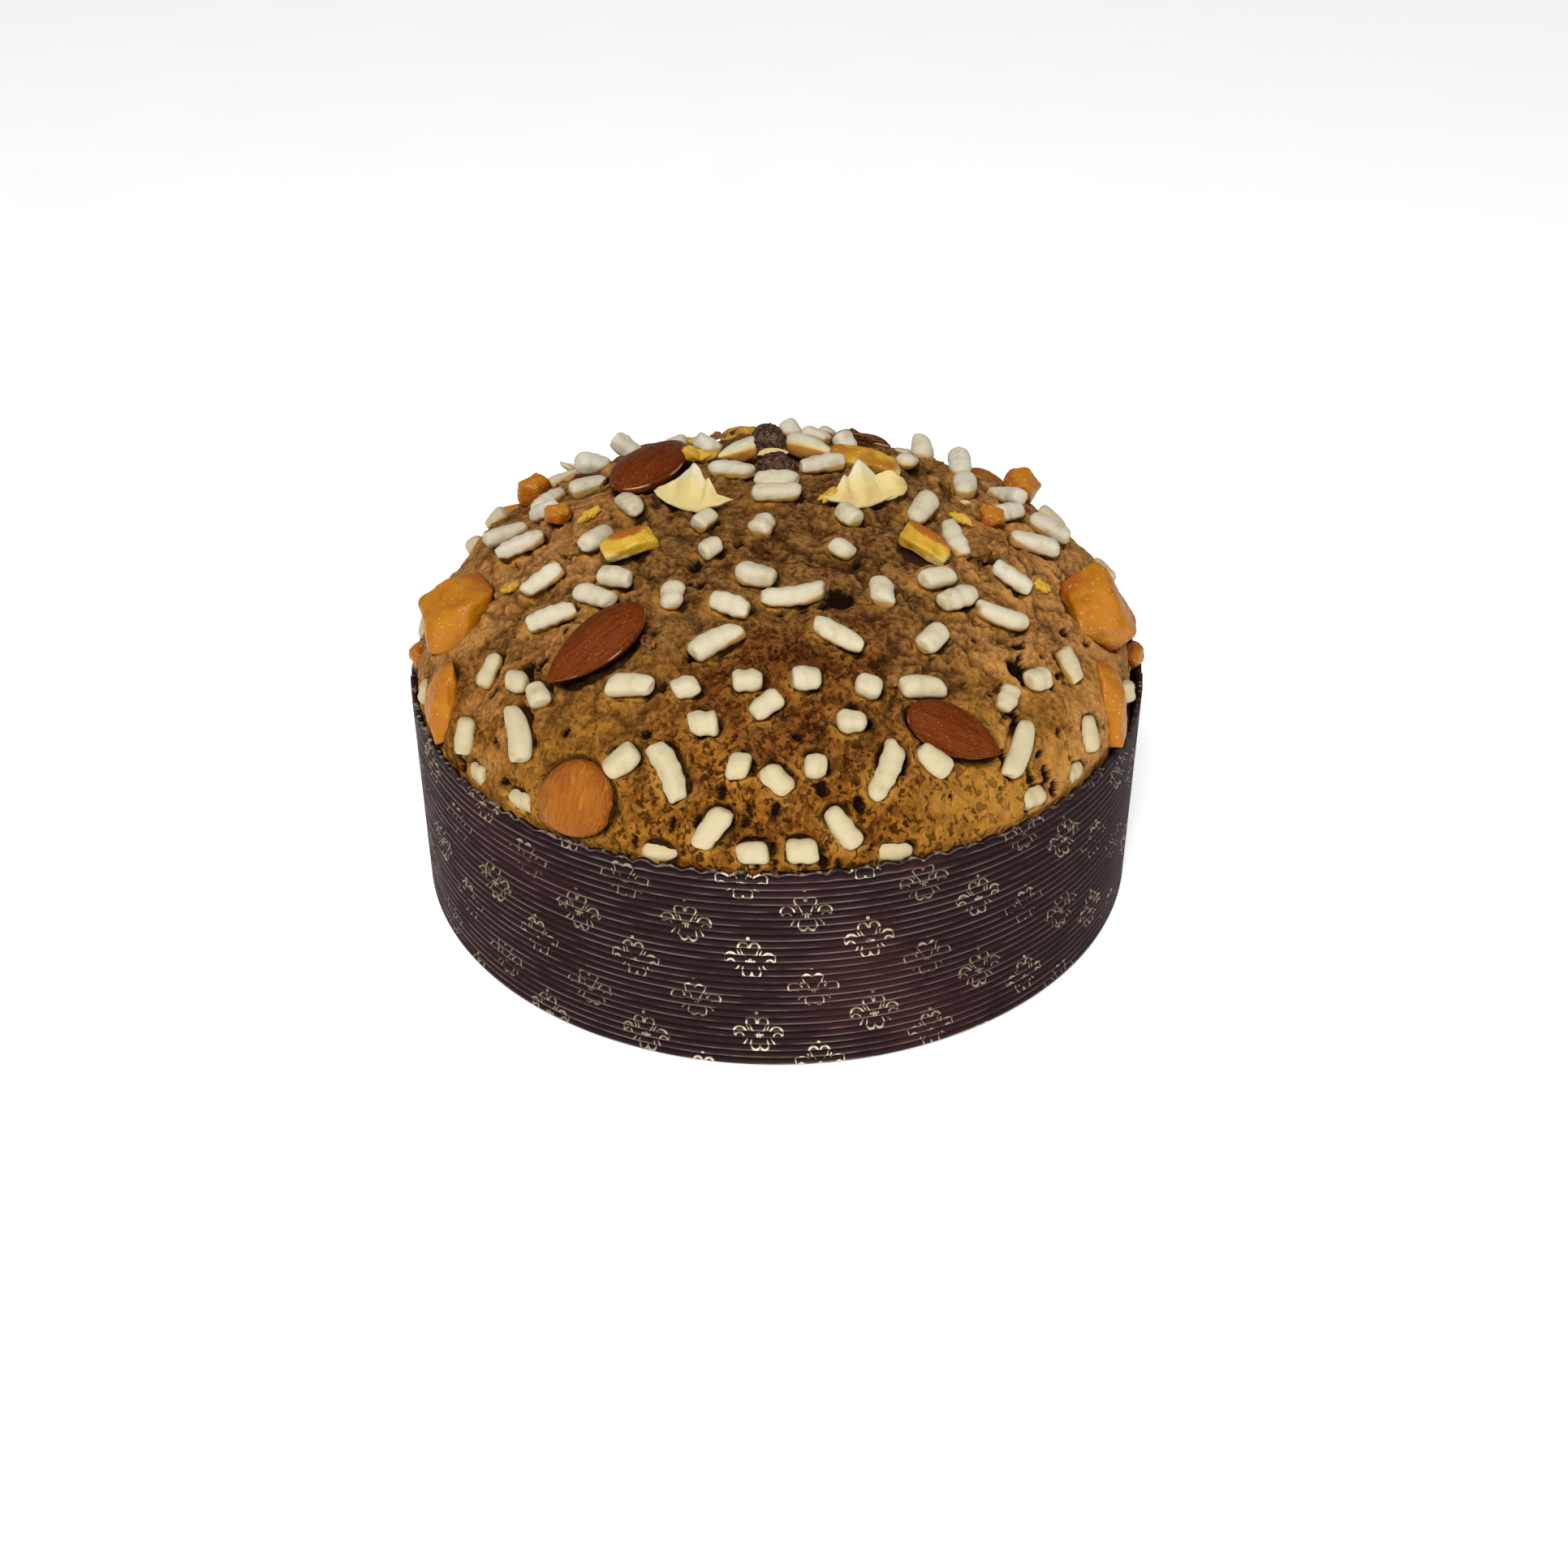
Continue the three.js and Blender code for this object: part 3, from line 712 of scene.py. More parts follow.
@dataclass(frozen=True)
class PaperFinish(Finish):
    """Dark ribbed paper with a satin face, painted shade in the flutes' valleys, painted highlights
    on their crests and a fine gold print of four-petalled flowers.
    """

    valley_shade: Colour = (14, 5, 6)
    flank: Colour = (44, 26, 26)
    wine: Colour = (64, 28, 30)
    painted_crest_highlight: Colour = (124, 105, 100)
    cut_edge_highlight: Colour = (136, 118, 108)
    gold: Colour = (226, 214, 186)
    shaded_gold: Colour = (120, 106, 82)
    radius: float = 93.0
    columns: int = 42
    row_height: float = 22.3
    row_drop: float = 17 / 42  # of a row, from one column to the next
    column_start: float = 0.765  # where the first column and row lie, as shares of their pitch
    row_start: float = 0.06
    lean: float = 5.7  # columns to the right for each metre down
    printed: Span = (0.09195, 0.09205)  # metres from the middle; the paper is bare inside this
    print_side_shade: Span = (0.009, 0.036)  # metres to a side; painted shade dulls the print from here on
    highlight_falloff: Span = (0.12, 0.008)  # metres to the right; the painted crest and edge highlights fade out towards the first
    wine_size: float = 34.0
    streak_size: float = 12.0
    worn_size: float = 1.6
    ragged_size: float = 2.2
    grain_size: float = 0.9
    grain_depth: float = 0.05

    def flower(self, g: Graph, across: NodeSocket, up: NodeSocket) -> NodeSocket:
        """How far a place is from the strokes of a flower, in millimetres.

        Args:
            g: The material.
            across: Millimetres to the right of the flower's middle.
            up: Millimetres above it.

        Returns:
            The distance, below zero on a stroke.
        """
        place = g.add("CombineXYZ", {0: g.math("ABSOLUTE", across), 1: up}).outputs[0]
        nearest, *others = [stroke.away(g, place, up) for stroke in FLOWER]
        for other in others:
            nearest = g.math("MINIMUM", nearest, other)
        return nearest

    def print_mask(self, g: Graph, at: NodeSocket) -> NodeSocket:
        """Where the gold lies on the outside of the case.

        Args:
            g: The material.
            at: The place on the case, in metres.

        Returns:
            A share from 0 to 1.
        """
        x, y, z = g.axes(at)
        bearing = g.math("ARCTAN2", x, g.times(y, -1.0))
        leaning = g.math("MULTIPLY_ADD", z, self.lean, self.column_start)
        column = g.math("ADD", g.times(bearing, self.columns / math.tau), leaning)
        drop = g.math("MULTIPLY_ADD", g.math("FLOOR", column), self.row_drop, self.row_start)
        row = g.math("ADD", g.math("DIVIDE", z, self.row_height * MM), drop)
        pitch = math.tau * self.radius / self.columns
        across = g.times(g.math("SUBTRACT", g.math("FRACT", column), 0.5), pitch)
        up = g.times(g.math("SUBTRACT", g.math("FRACT", row), 0.5), self.row_height)
        gold = g.step(self.flower(g, across, up), 0.08, -0.05)
        flat = g.vector("MULTIPLY", at, (1.0, 1.0, 0.0))
        outside = g.step(g.vector("LENGTH", flat), *self.printed)
        return g.times(g.times(gold, outside), g.step(g.lumps(at, self.worn_size, 3), 0.3, 0.46))

    def material(self) -> Material:
        """The look as a material that paints shade and highlights by the crests of the flutes and
        the cut edge.
        """
        g = Graph("case_paper")
        at = g.places()
        crest = g.noted("crest")
        x = g.axes(at)[0]
        streaks = g.lumps(g.vector("MULTIPLY", at, (1.0, 1.0, 6.0)), self.streak_size, 3)
        # painted highlight along the crests, broken into streaks
        painted_crest_highlight = g.times(g.step(crest, 0.66, 1.0), g.step(streaks, 0.36, 0.62))
        # painted light that falls off towards the right
        painted_light_falloff = g.step(x, *self.highlight_falloff)
        # the paper's paler cut edge, with a painted highlight broken along the rim
        cut = g.times(g.noted("edge"), g.step(g.lumps(at, self.ragged_size, 3), 0.5, 0.62))
        # painted shade on the print towards the sides
        print_side_shade = g.step(g.math("ABSOLUTE", x), *self.print_side_shade, 0.8)
        # painted highlight on the print's crests, painted shade in its valleys
        gold = g.mix(g.step(crest, 0.1, 0.7), self.shaded_gold, self.gold)
        base = g.layered(
            # the paper's own dark brown on the flanks, with painted shade deeper in the valleys
            self.valley_shade,
            (g.step(crest, 0.0, 0.6), self.flank),
            (g.step(g.lumps(at, self.wine_size, 2), 0.52, 0.7, 0.35), self.wine),
            (g.times(painted_crest_highlight, painted_light_falloff), self.painted_crest_highlight),
            (g.times(cut, painted_light_falloff), self.cut_edge_highlight),
            (self.print_mask(g, at), g.mix(print_side_shade, gold, self.shaded_gold)),
        )
        grain = g.relief(g.lumps(at, self.grain_size, 3), self.grain_depth)
        return g.finished(Base_Color=base, Normal=grain, Roughness=0.42, Specular_IOR_Level=0.07)


# ---- The dome's surface ----


@dataclass(frozen=True)
class Site:
    """Places on the crust, with the outward normal, the way down the slope and the way round."""

    point: Array
    normal: Array
    down: Array
    round: Array


@dataclass(frozen=True)
class Laid:
    """A long piece lying on the crust."""

    middle: Array
    axis: Array
    normal: Array
    length: float
    width: float

    @property
    def side(self) -> Array:
        """The direction across the piece."""
        return np.cross(self.axis, self.normal)

    def placed(self, local: Array) -> Array:
        """Points of the piece, which lies along Y with its thickness along Z, in the frame."""
        return self.middle + local @ np.array([self.side, self.axis, self.normal])

    def moved(self, shift: Array) -> Laid:
        """The same piece somewhere else."""
        return replace(self, middle=self.middle + shift)

    def rolled(self, degrees: float) -> Laid:
        """The same piece rolled about its length."""
        angle = math.radians(degrees)
        return replace(self, normal=self.normal * math.cos(angle) + self.side * math.sin(angle))

    def spun(self, degrees: float) -> Laid:
        """The same piece turned about its normal."""
        angle, across = math.radians(degrees), np.cross(self.normal, self.axis)
        return replace(self, axis=self.axis * math.cos(angle) + across * math.sin(angle))

    def risen(self, degrees: float) -> Laid:
        """The same piece with one end lifted off the crust and the other sunk into it.

        Args:
            degrees: How far it is tilted.

        Returns:
            The piece.
        """
        sine, cosine = math.sin(math.radians(degrees)), math.cos(math.radians(degrees))
        axis = self.axis * cosine + self.normal * sine
        normal = self.normal * cosine - self.axis * sine
        middle = self.middle + self.normal * (0.25 * self.length * abs(sine))
        return replace(self, middle=middle, axis=axis, normal=normal)

    def ends(self) -> tuple[Array, float]:
        """The run from the middle to the centre of one rounded end, and the radius."""
        half = max(0.0, self.length - self.width) / 2
        return self.axis * half, self.width / 2

    def distance(self, places: Array) -> Array:
        """How far points lie outside the piece taken as a round-ended rod.

        Args:
            places: The points, one a row.

        Returns:
            The distances.
        """
        run, radius = self.ends()
        offset = places - self.middle
        share = np.clip(offset @ run / max(1e-9, float(run @ run)), -1, 1)
        return np.linalg.norm(offset - share[:, None] * run, axis=1) - radius

    def apart(self, other: Laid, gap: float) -> bool:
        """Tells whether this piece stays clear of another.

        Args:
            other: The other piece.
            gap: How much room there is between them at least.

        Returns:
            True if it does.
        """
        spines = []
        for piece in (self, other):
            run = piece.ends()[0]
            spines.append([piece.middle + share * run for share in (-1, -0.5, 0, 0.5, 1)])
        nearest = min(np.linalg.norm(p - q) for p in spines[0] for q in spines[1])
        return nearest > self.width / 2 + other.width / 2 + gap


@dataclass(frozen=True)
class Dome:
    """The crust's smooth surface, by polar angle from the crown and bearing from the front."""

    radius: float = 91.2
    rim_height: float = 57.0
    rise: float = 44.2
    breadth: float = 2.3  # the power of the outline's breadth, 2 for a ball's
    fullness: float = 1.8  # and of its height
    waves: int = 6
    wave_height: float = 0.55
    wave_length: float = 58.0
    wave_turn: float = 137.5  # degrees from one wave's heading to the next
    wave_shift: float = 2.1
    wave_shortening: float = 0.74  # each wave's length and height, as shares of the last one's
    wave_fading: float = 0.86
    shrink: float = 1.8  # how far the cake has drawn in from the paper at the right
    shrink_bearing: float = 84.0
    shrink_spread: float = 26.0
    shrink_depth: float = 14.0
    reach: float = 92.9  # the furthest that a piece stands out
    rim_clearance: float = 1.1
    nib_lift: float = 0.5

    def swell(self, x: Array, y: Array) -> Array:
        """Gentle swells of the crust.

        Args:
            x: How far places are to the right.
            y: How far they are back.

        Returns:
            Their height over the smooth dome.
        """
        height = np.zeros_like(x)
        for i in range(self.waves):
            heading = math.radians(self.wave_turn * i)
            along = x * math.cos(heading) + y * math.sin(heading)
            length = self.wave_length * self.wave_shortening**i
            swing = np.sin(math.tau * along / length + self.wave_shift * i)
            height = height + self.wave_height * self.wave_fading**i * swing
        return height

    def radius_at(self, polar: float | Array) -> Array:
        """Radius of the smooth outline at a polar angle."""
        return self.radius * np.sin(np.radians(polar)) ** (2 / self.breadth)

    def polar_at(self, rise: float) -> float:
        """The polar angle at a height over the case's rim."""
        return math.degrees(math.acos(min(1.0, rise / self.rise) ** (self.fullness / 2)))

    def site(self, polar: float | Array, bearing: float | Array) -> Site:
        """Places on the crust.

        Args:
            polar: 0 at the crown and 90 at the rim.
            bearing: 0 at the front and 90 at the right.

        Returns:
            The places and their directions, one a row, or one alone for plain numbers.
        """
        polar = np.asarray(polar, float)
        bearing = np.asarray(bearing, float)
        angle = np.radians(np.clip(polar, 0.5, 89.5))
        sine, cosine = np.sin(angle), np.cos(angle)
        broad, full = 2 / self.breadth, 2 / self.fullness
        across = broad * self.radius * sine ** (broad - 1) * cosine
        fall = full * self.rise * cosine ** (full - 1) * sine
        slope = np.hypot(across, fall)
        turn = np.radians(bearing)
        flat = np.zeros_like(turn)
        radial = np.stack([np.sin(turn), -np.cos(turn), flat], -1)
        around = np.stack([np.cos(turn), np.sin(turn), flat], -1)
        normal = radial * (fall / slope)[..., None]
        normal[..., 2] = across / slope
        point = radial * self.radius_at(polar)[..., None]
        point[..., 2] = self.rim_height + self.rise * (
            np.maximum(0, np.cos(np.radians(polar))) ** full
        )
        swell = self.swell(point[..., 0], point[..., 1]) * (1 - (polar / 90) ** 6)
        edge = smooth(polar, 90 - 2 * self.shrink_depth, 90)
        drawn_in = self.shrink * ridge(bearing, self.shrink_bearing, self.shrink_spread)
        point = point + normal * (swell - drawn_in * edge)[..., None]
        return Site(point, normal, np.cross(around, normal), around)

    def height_over(self, places: Array) -> Array:
        """Roughly how far points lie over the crust.

        Args:
            places: The points, one a row.

        Returns:
            Their heights in millimetres.
        """
        ring = np.hypot(places[:, 0], places[:, 1]) / self.radius
        polar = np.degrees(np.arcsin(np.clip(ring, 0, 1) ** (self.breadth / 2)))
        site = self.site(polar, np.degrees(np.arctan2(places[:, 0], -places[:, 1])))
        return np.sum((places - site.point) * site.normal, 1)

    def lay(self, polar: float, bearing: float, turn: float, lift: float, size: Triple) -> Laid:
        """Lays a piece on the crust, drawn in where it would stand out past the case.

        Args:
            polar: 0 at the crown and 90 at the rim.
            bearing: 0 at the front and 90 at the right.
            turn: 0 for a piece that points down the slope, 90 for one along a growing bearing.
            lift: How far its middle stands off the crust.
            size: Its length, width and thickness.

        Returns:
            The piece in its place.
        """
        site = self.site(polar, bearing)
        length, width, thickness = size
        angle = math.radians(turn)
        axis = site.down * math.cos(angle) + site.round * math.sin(angle)
        middle = site.point + site.normal * lift
        radial = np.array([middle[0], middle[1], 0])
        radial /= np.linalg.norm(radial)
        reach = (length * abs(axis @ radial) + thickness * (site.normal @ radial)) / 2
        excess = middle @ radial + reach - self.reach
        if excess > 0:
            middle = middle - radial * excess
        return Laid(middle, axis, site.normal, length, width)

    def lay_nib(
        self, polar: float, bearing: float, length: float, width: float, turn: float
    ) -> Laid:
        """Lays a nib, raised where it would hang over the pinked edge.

        Args:
            polar: 0 at the crown and 90 at the rim.
            bearing: 0 at the front and 90 at the right.
            length: The nib's length.
            width: Its width, which is its thickness too.
            turn: 0 for a nib that points down the slope.

        Returns:
            The nib in its place.
        """
        size = (length, width, width)
        steepness = abs(self.lay(polar, bearing, turn, self.nib_lift, size).axis[2])
        drop = (steepness * length + math.sqrt(1 - steepness**2) * width) / 2
        held = min(polar, self.polar_at(self.rim_clearance + drop))
        return self.lay(held, bearing, turn, self.nib_lift, size)


# ---- Sugar nibs ----


@dataclass(frozen=True)
class Ring:
    """Nibs at one polar angle. Each is (bearing, length, turn), and pairs are mirrored."""

    polar: float
    pairs: tuple[Triple, ...] = ()
    singles: tuple[Triple, ...] = ()


RINGS = (
    Ring(1.2, singles=((180, 12.5, 90),)),
    Ring(3.9, singles=((180, 11, 86),)),
    Ring(6, singles=((-15, 7.5, -5),)),
    Ring(9.5, ((66, 7, -30),)),
    Ring(12, ((151, 12, -37),)),
    Ring(14, ((36, 6, 10),)),
    Ring(17, singles=((-9, 10, 80),)),
    Ring(20, ((93, 11, 60),)),
    Ring(22, singles=((5.5, 15.5, -85),)),
    Ring(26, ((76, 12, -54), (33, 8, -30), (156, 7, 20))),
    Ring(25, singles=((-14.5, 10.5, 76),)),
    Ring(28, ((53, 9, 66),)),
    Ring(31, ((141, 8, 30),)),
    Ring(33, ((52, 11, 76), (15, 13, 46), (122, 10, -65))),
    Ring(38, ((103, 10, 29), (70, 11, -6)), ((36.5, 8.5, -70),)),
    Ring(41, ((57, 13, 31), (6, 7, 86), (89, 13, -18), (112, 13, -85))),
    Ring(44, ((18, 6.5, 60), (127, 8, 10))),
    Ring(46.5, ((28.5, 11, 73), (99, 12, -50)), ((-2, 8, -49),)),
    Ring(51, ((13, 7, 83),)),
    Ring(56, ((51, 6.5, 76),), ((43, 7, -60), (-44.5, 6.5, 60))),
    Ring(58.5, ((59.5, 9, -22),)),
    Ring(60, ((6, 5.5, 86),)),
    Ring(63, ((17, 14, -36), (25, 9, 37)), ((0, 8, 45),)),
    Ring(68, ((40, 14.5, -49),)),
    Ring(77, ((56, 9, -20), (9.5, 11, 32))),
    Ring(84, ((3.5, 7.5, 88), (41, 8, 82), (17, 9, 87), (74, 6, 0), (51, 6, 85))),
)
HIDDEN_ROWS = ((30, 146), (40, 134), (51, 122), (62, 116), (73, 104), (84, 90))


@dataclass(frozen=True)
class Peak:
    """A nib that stands up on the skyline: its place, length, tilt and how far it is raised."""

    polar: float
    bearing: float
    length: float
    tilt: float
    raised: float


PEAKS = (
    Peak(42, 143, 9, 52, -0.2),
    Peak(42, -142.5, 9.5, 54, 0.2),
    *(Peak(26, bearing, 7.5, 42, -0.8) for bearing in (156, -156)),
    *(Peak(33.5, bearing, 10.5, 14, -0.6) for bearing in (117, -117)),
    *(Peak(39, bearing, 9.5, 30, 0.6) for bearing in (129, -129)),
    *(Peak(37, bearing, 7, 46, -1.2) for bearing in (-175, 176)),
)


@dataclass(frozen=True)
class NibLayout:
    """Where the sugar nibs lie, drawn in the same order as in the part's source."""

    dome: Dome
    seed: int = 7
    width: float = 5.8
    slimmest: float = 0.92
    width_spread: float = 0.16
    spacing: float = 20.0
    clearance: float = 2.0
    shortest: float = 6.0
    length_spread: float = 9.0
    polar_spread: float = 5.0
    bearing_spread: float = 0.4
    taper: float = 0.9
    side_from: float = 75.0  # bearings from which the nibs lie at the side and behind
    back_from: float = 125.0
    tilted: Span = (34.0, 76.0)  # distances from the middle of the nibs that are tilted there
    tilt: Span = (6.0, 26.0)
    side_sink: float = 0.3
    back_sink: float = 1.3
    low: float = 64.0  # height under which the paper's edge hides a part of a nib
    hidden: Span = (10.0, 60.0)  # bearings of the nibs that it hides
    front_to: float = 35.0
    front_sink: Triple = (3.2, 0.05, 17.0)  # millimetres, and more for each degree past the last
    aside_sink: float = 1.7
    edge_radius: float = 89.0
    extra: tuple[float, float, float, float] = (66, -44, 14, 45)  # by the round almond
    peak_girth: float = 1.15
    peak_turn: float = 60.0

    def drawn_width(self, draw: Iterator[float]) -> float:
        """A nib's width, drawn anew for each."""
        return self.width * (self.slimmest + self.width_spread * next(draw))

    def ring_nibs(self, draw: Iterator[float]) -> list[Laid]:
        """The nibs of the rings.

        Args:
            draw: Draws for their widths.

        Returns:
            The nibs, those of a pair right and left.
        """
        nibs = []
        for ring in RINGS:
            mirrored = [
                (side * bearing, length, side * turn)
                for bearing, length, turn in ring.pairs
                for side in (1, -1)
            ]
            for bearing, length, turn in (*mirrored, *ring.singles):
                width = self.drawn_width(draw)
                nibs.append(self.dome.lay_nib(ring.polar, bearing, length, width, turn))
        return nibs

    def hidden_nibs(self, draw: Iterator[float], laid: list[Laid]) -> list[Laid]:
        """The nibs of the rows behind, where no other nib lies.

        Args:
            draw: Draws for their places and sizes.
            laid: The nibs that lie already.

        Returns:
            The nibs.
        """
        nibs: list[Laid] = []
        for row, start in HIDDEN_ROWS:
            step = math.degrees(self.spacing / float(self.dome.radius_at(row)))
            bearing = float(start)
            while bearing <= 360 - start:
                polar = row + self.polar_spread * (next(draw) - 0.5)
                at = bearing + self.bearing_spread * step * (next(draw) - 0.5)
                length = self.shortest + self.length_spread * next(draw) ** 1.5
                width = self.drawn_width(draw)
                nib = self.dome.lay_nib(polar, at, length, width, 180 * next(draw) - 90)
                if all(nib.apart(other, self.clearance) for other in laid + nibs):
                    nibs.append(nib)
                bearing += step
        return nibs

    def nibs(self, toppings: Sequence[Laid]) -> list[Laid]:
        """All the nibs that lie clear of the large toppings.

        Args:
            toppings: The large toppings.

        Returns:
            The nibs of the frame.
        """
        draw = draws_from(self.seed)
        rings = self.ring_nibs(draw)
        everything = rings + self.hidden_nibs(draw, rings)
        return [n for n in everything if all(n.apart(t, -self.taper) for t in toppings)]

    def seen(self, nib: Laid, rise: float) -> Laid:
        """A nib as it is seen, which may be tilted or half hidden behind the paper's edge.

        Args:
            nib: The nib of the frame.
            rise: Degrees that it is tilted by at the side.

        Returns:
            The nib.
        """
        x, y, z = nib.middle
        away, ring = abs(math.degrees(math.atan2(x, -y))), math.hypot(x, y)
        if away > self.side_from and self.tilted[0] < ring < self.tilted[1]:
            side = away < self.back_from
            nib = nib.risen(rise if side else rise / 2)
            return nib.moved(-nib.normal * (self.side_sink if side else self.back_sink))
        if z < self.low and self.hidden[0] < away < self.hidden[1]:
            least, growth, start = self.front_sink
            sunk = least + growth * (away - start) if away < self.front_to else self.aside_sink
            held = min(1.0, self.edge_radius / ring)
            return replace(nib, middle=np.array([x * held, y * held, z - sunk]))
        return nib

    def shown(self, nibs: Sequence[Laid]) -> list[Laid]:
        """The nibs as they are seen.

        Args:
            nibs: The nibs of the frame.

        Returns:
            The nibs with some of them moved, and one more beside the round almond.
        """
        chance = random.Random(self.seed)
        tilts = [chance.uniform(*self.tilt) * chance.choice((-1, 1)) for _ in nibs]
        shown = [self.seen(nib, tilt) for nib, tilt in zip(nibs, tilts)]
        for peak in PEAKS:
            size = (peak.length, self.peak_girth * self.width, self.width)
            nib = self.dome.lay(peak.polar, peak.bearing, self.peak_turn, peak.raised, size)
            away = [float(np.linalg.norm(other.middle - nib.middle)) for other in shown]
            shown[away.index(min(away))] = nib.risen(peak.tilt)
        polar, bearing, length, turn = self.extra
        return [*shown, self.dome.lay_nib(polar, bearing, length, self.width, turn)]


@dataclass(frozen=True)
class SugarNibs:
    """The sugar nibs: soft, blunt-ended rods of pressed sugar."""

    dome: Dome
    nibs: list[Laid]
    seed: int = 11
    fineness: int = 4
    squareness: Span = (2.1, 2.9)  # the powers of a nib's section and of its ends
    bluntness: Span = (3.2, 6.0)
    segment: float = 3.6  # length of one soft lump along a nib
    segment_depth: float = 0.06
    pinch: float = 0.06  # how much slimmer the ends are
    taper: float = 0.14
    slant: float = 0.28
    bend: float = 0.7
    lump_size: float = 2.6
    roughness: float = 0.16
    flatness: float = 0.84
    slimness: float = 0.93
    inset: float = 0.15  # how far each end keeps inside the nib's length
    soak_height: float = 0.7
    rim_soak: float = 0.15
    buried_below: float = 66.0  # height of the nibs by the rim, which the syrup barely reaches

    def shape(self, unit: Array, nib: Laid, chance: random.Random) -> Array:
        """The points of one nib, in millimetres, lying along Y.

        Args:
            unit: Points of a unit ball.
            nib: The nib's place and size.
            chance: Draws of its own form.

        Returns:
            The points, inside the nib's size.
        """
        square, blunt = chance.uniform(*self.squareness), chance.uniform(*self.bluntness)
        twist = chance.uniform(0, math.pi)
        turned_x = unit[:, 0] * math.cos(twist) - unit[:, 2] * math.sin(twist)
        turned_z = unit[:, 0] * math.sin(twist) + unit[:, 2] * math.cos(twist)
        ring = (abs(turned_x) ** square + abs(turned_z) ** square) ** (1 / square)
        shaped = unit * ((ring**blunt + abs(unit[:, 1]) ** blunt) ** (-1 / blunt))[:, None]
        half, radius = nib.length / 2, nib.width / 2 * self.slimness
        along = shaped[:, 1]
        waves = max(1, round(nib.length / self.segment))
        phase = chance.uniform(0, math.tau)
        depth = self.segment_depth * chance.random()
        girth = 1 - depth * (1 + np.cos(math.pi * waves * along + phase))
        taper = chance.uniform(-self.taper, self.taper)
        girth = girth - self.pinch * abs(along) ** 4 - taper * along
        slant = chance.uniform(-self.slant, self.slant)
        bend = chance.uniform(-self.bend, self.bend) * (half / 6) ** 2
        x = shaped[:, 0] * girth * radius + bend * (along**2 - 0.4)
        y = along * (half - self.inset) + slant * shaped[:, 0] * radius * (0.4 + 0.6 * abs(along))
        z = shaped[:, 2] * girth * radius * self.flatness
        local = np.stack([x, y, z], 1)
        ridges = lumps(local, self.lump_size, 3, chance.uniform(0, 90))
        return local * (1 + self.roughness * ridges / radius)[:, None]

    def build(self) -> Object:
        """The nibs as one piece."""
        bm = bmesh.new()
        chance = random.Random(self.seed)
        placed, soak = [], []
        for nib in self.nibs:
            places = nib.placed(self.shape(ball(bm, self.fineness), nib, chance))
            share = self.rim_soak if nib.middle[2] < self.buried_below else 1.0
            placed.append(places)
            soak.append((1 - smooth(self.dome.height_over(places), 0, self.soak_height)) * share)
        mesh = mesh_from(bm, "sugar_nibs", np.concatenate(placed))
        note(mesh, "soak", np.concatenate(soak))
        return show(mesh, SugarFinish().material(), "pearl_sugar", ["cake"])


# ---- Large toppings ----


class Kind(Enum):
    """The kinds of large topping."""

    ALMOND = "almond"
    BUTTON = "button"
    FRUIT = "fruit"
    PEEL = "peel"
    FLAKE = "flake"
    CHIP = "chip"
    NUB = "nub"


@dataclass(frozen=True)
class Topping:
    """A large topping, or a mirrored pair of them: its size in millimetres and its place."""

    kind: Kind
    name: str
    size: Triple
    lift: float
    polar: float
    bearing: float
    turn: float
    pair: bool = False
    out: float = 0.0  # millimetres that it is raised by
    roll: float = 0.0  # degrees that it is rolled about its length
    spin: float = 0.0  # degrees that it is turned by
    grow: float = 1.0
    slide: Span = (0.0, 0.0)  # millimetres sideways and along its length


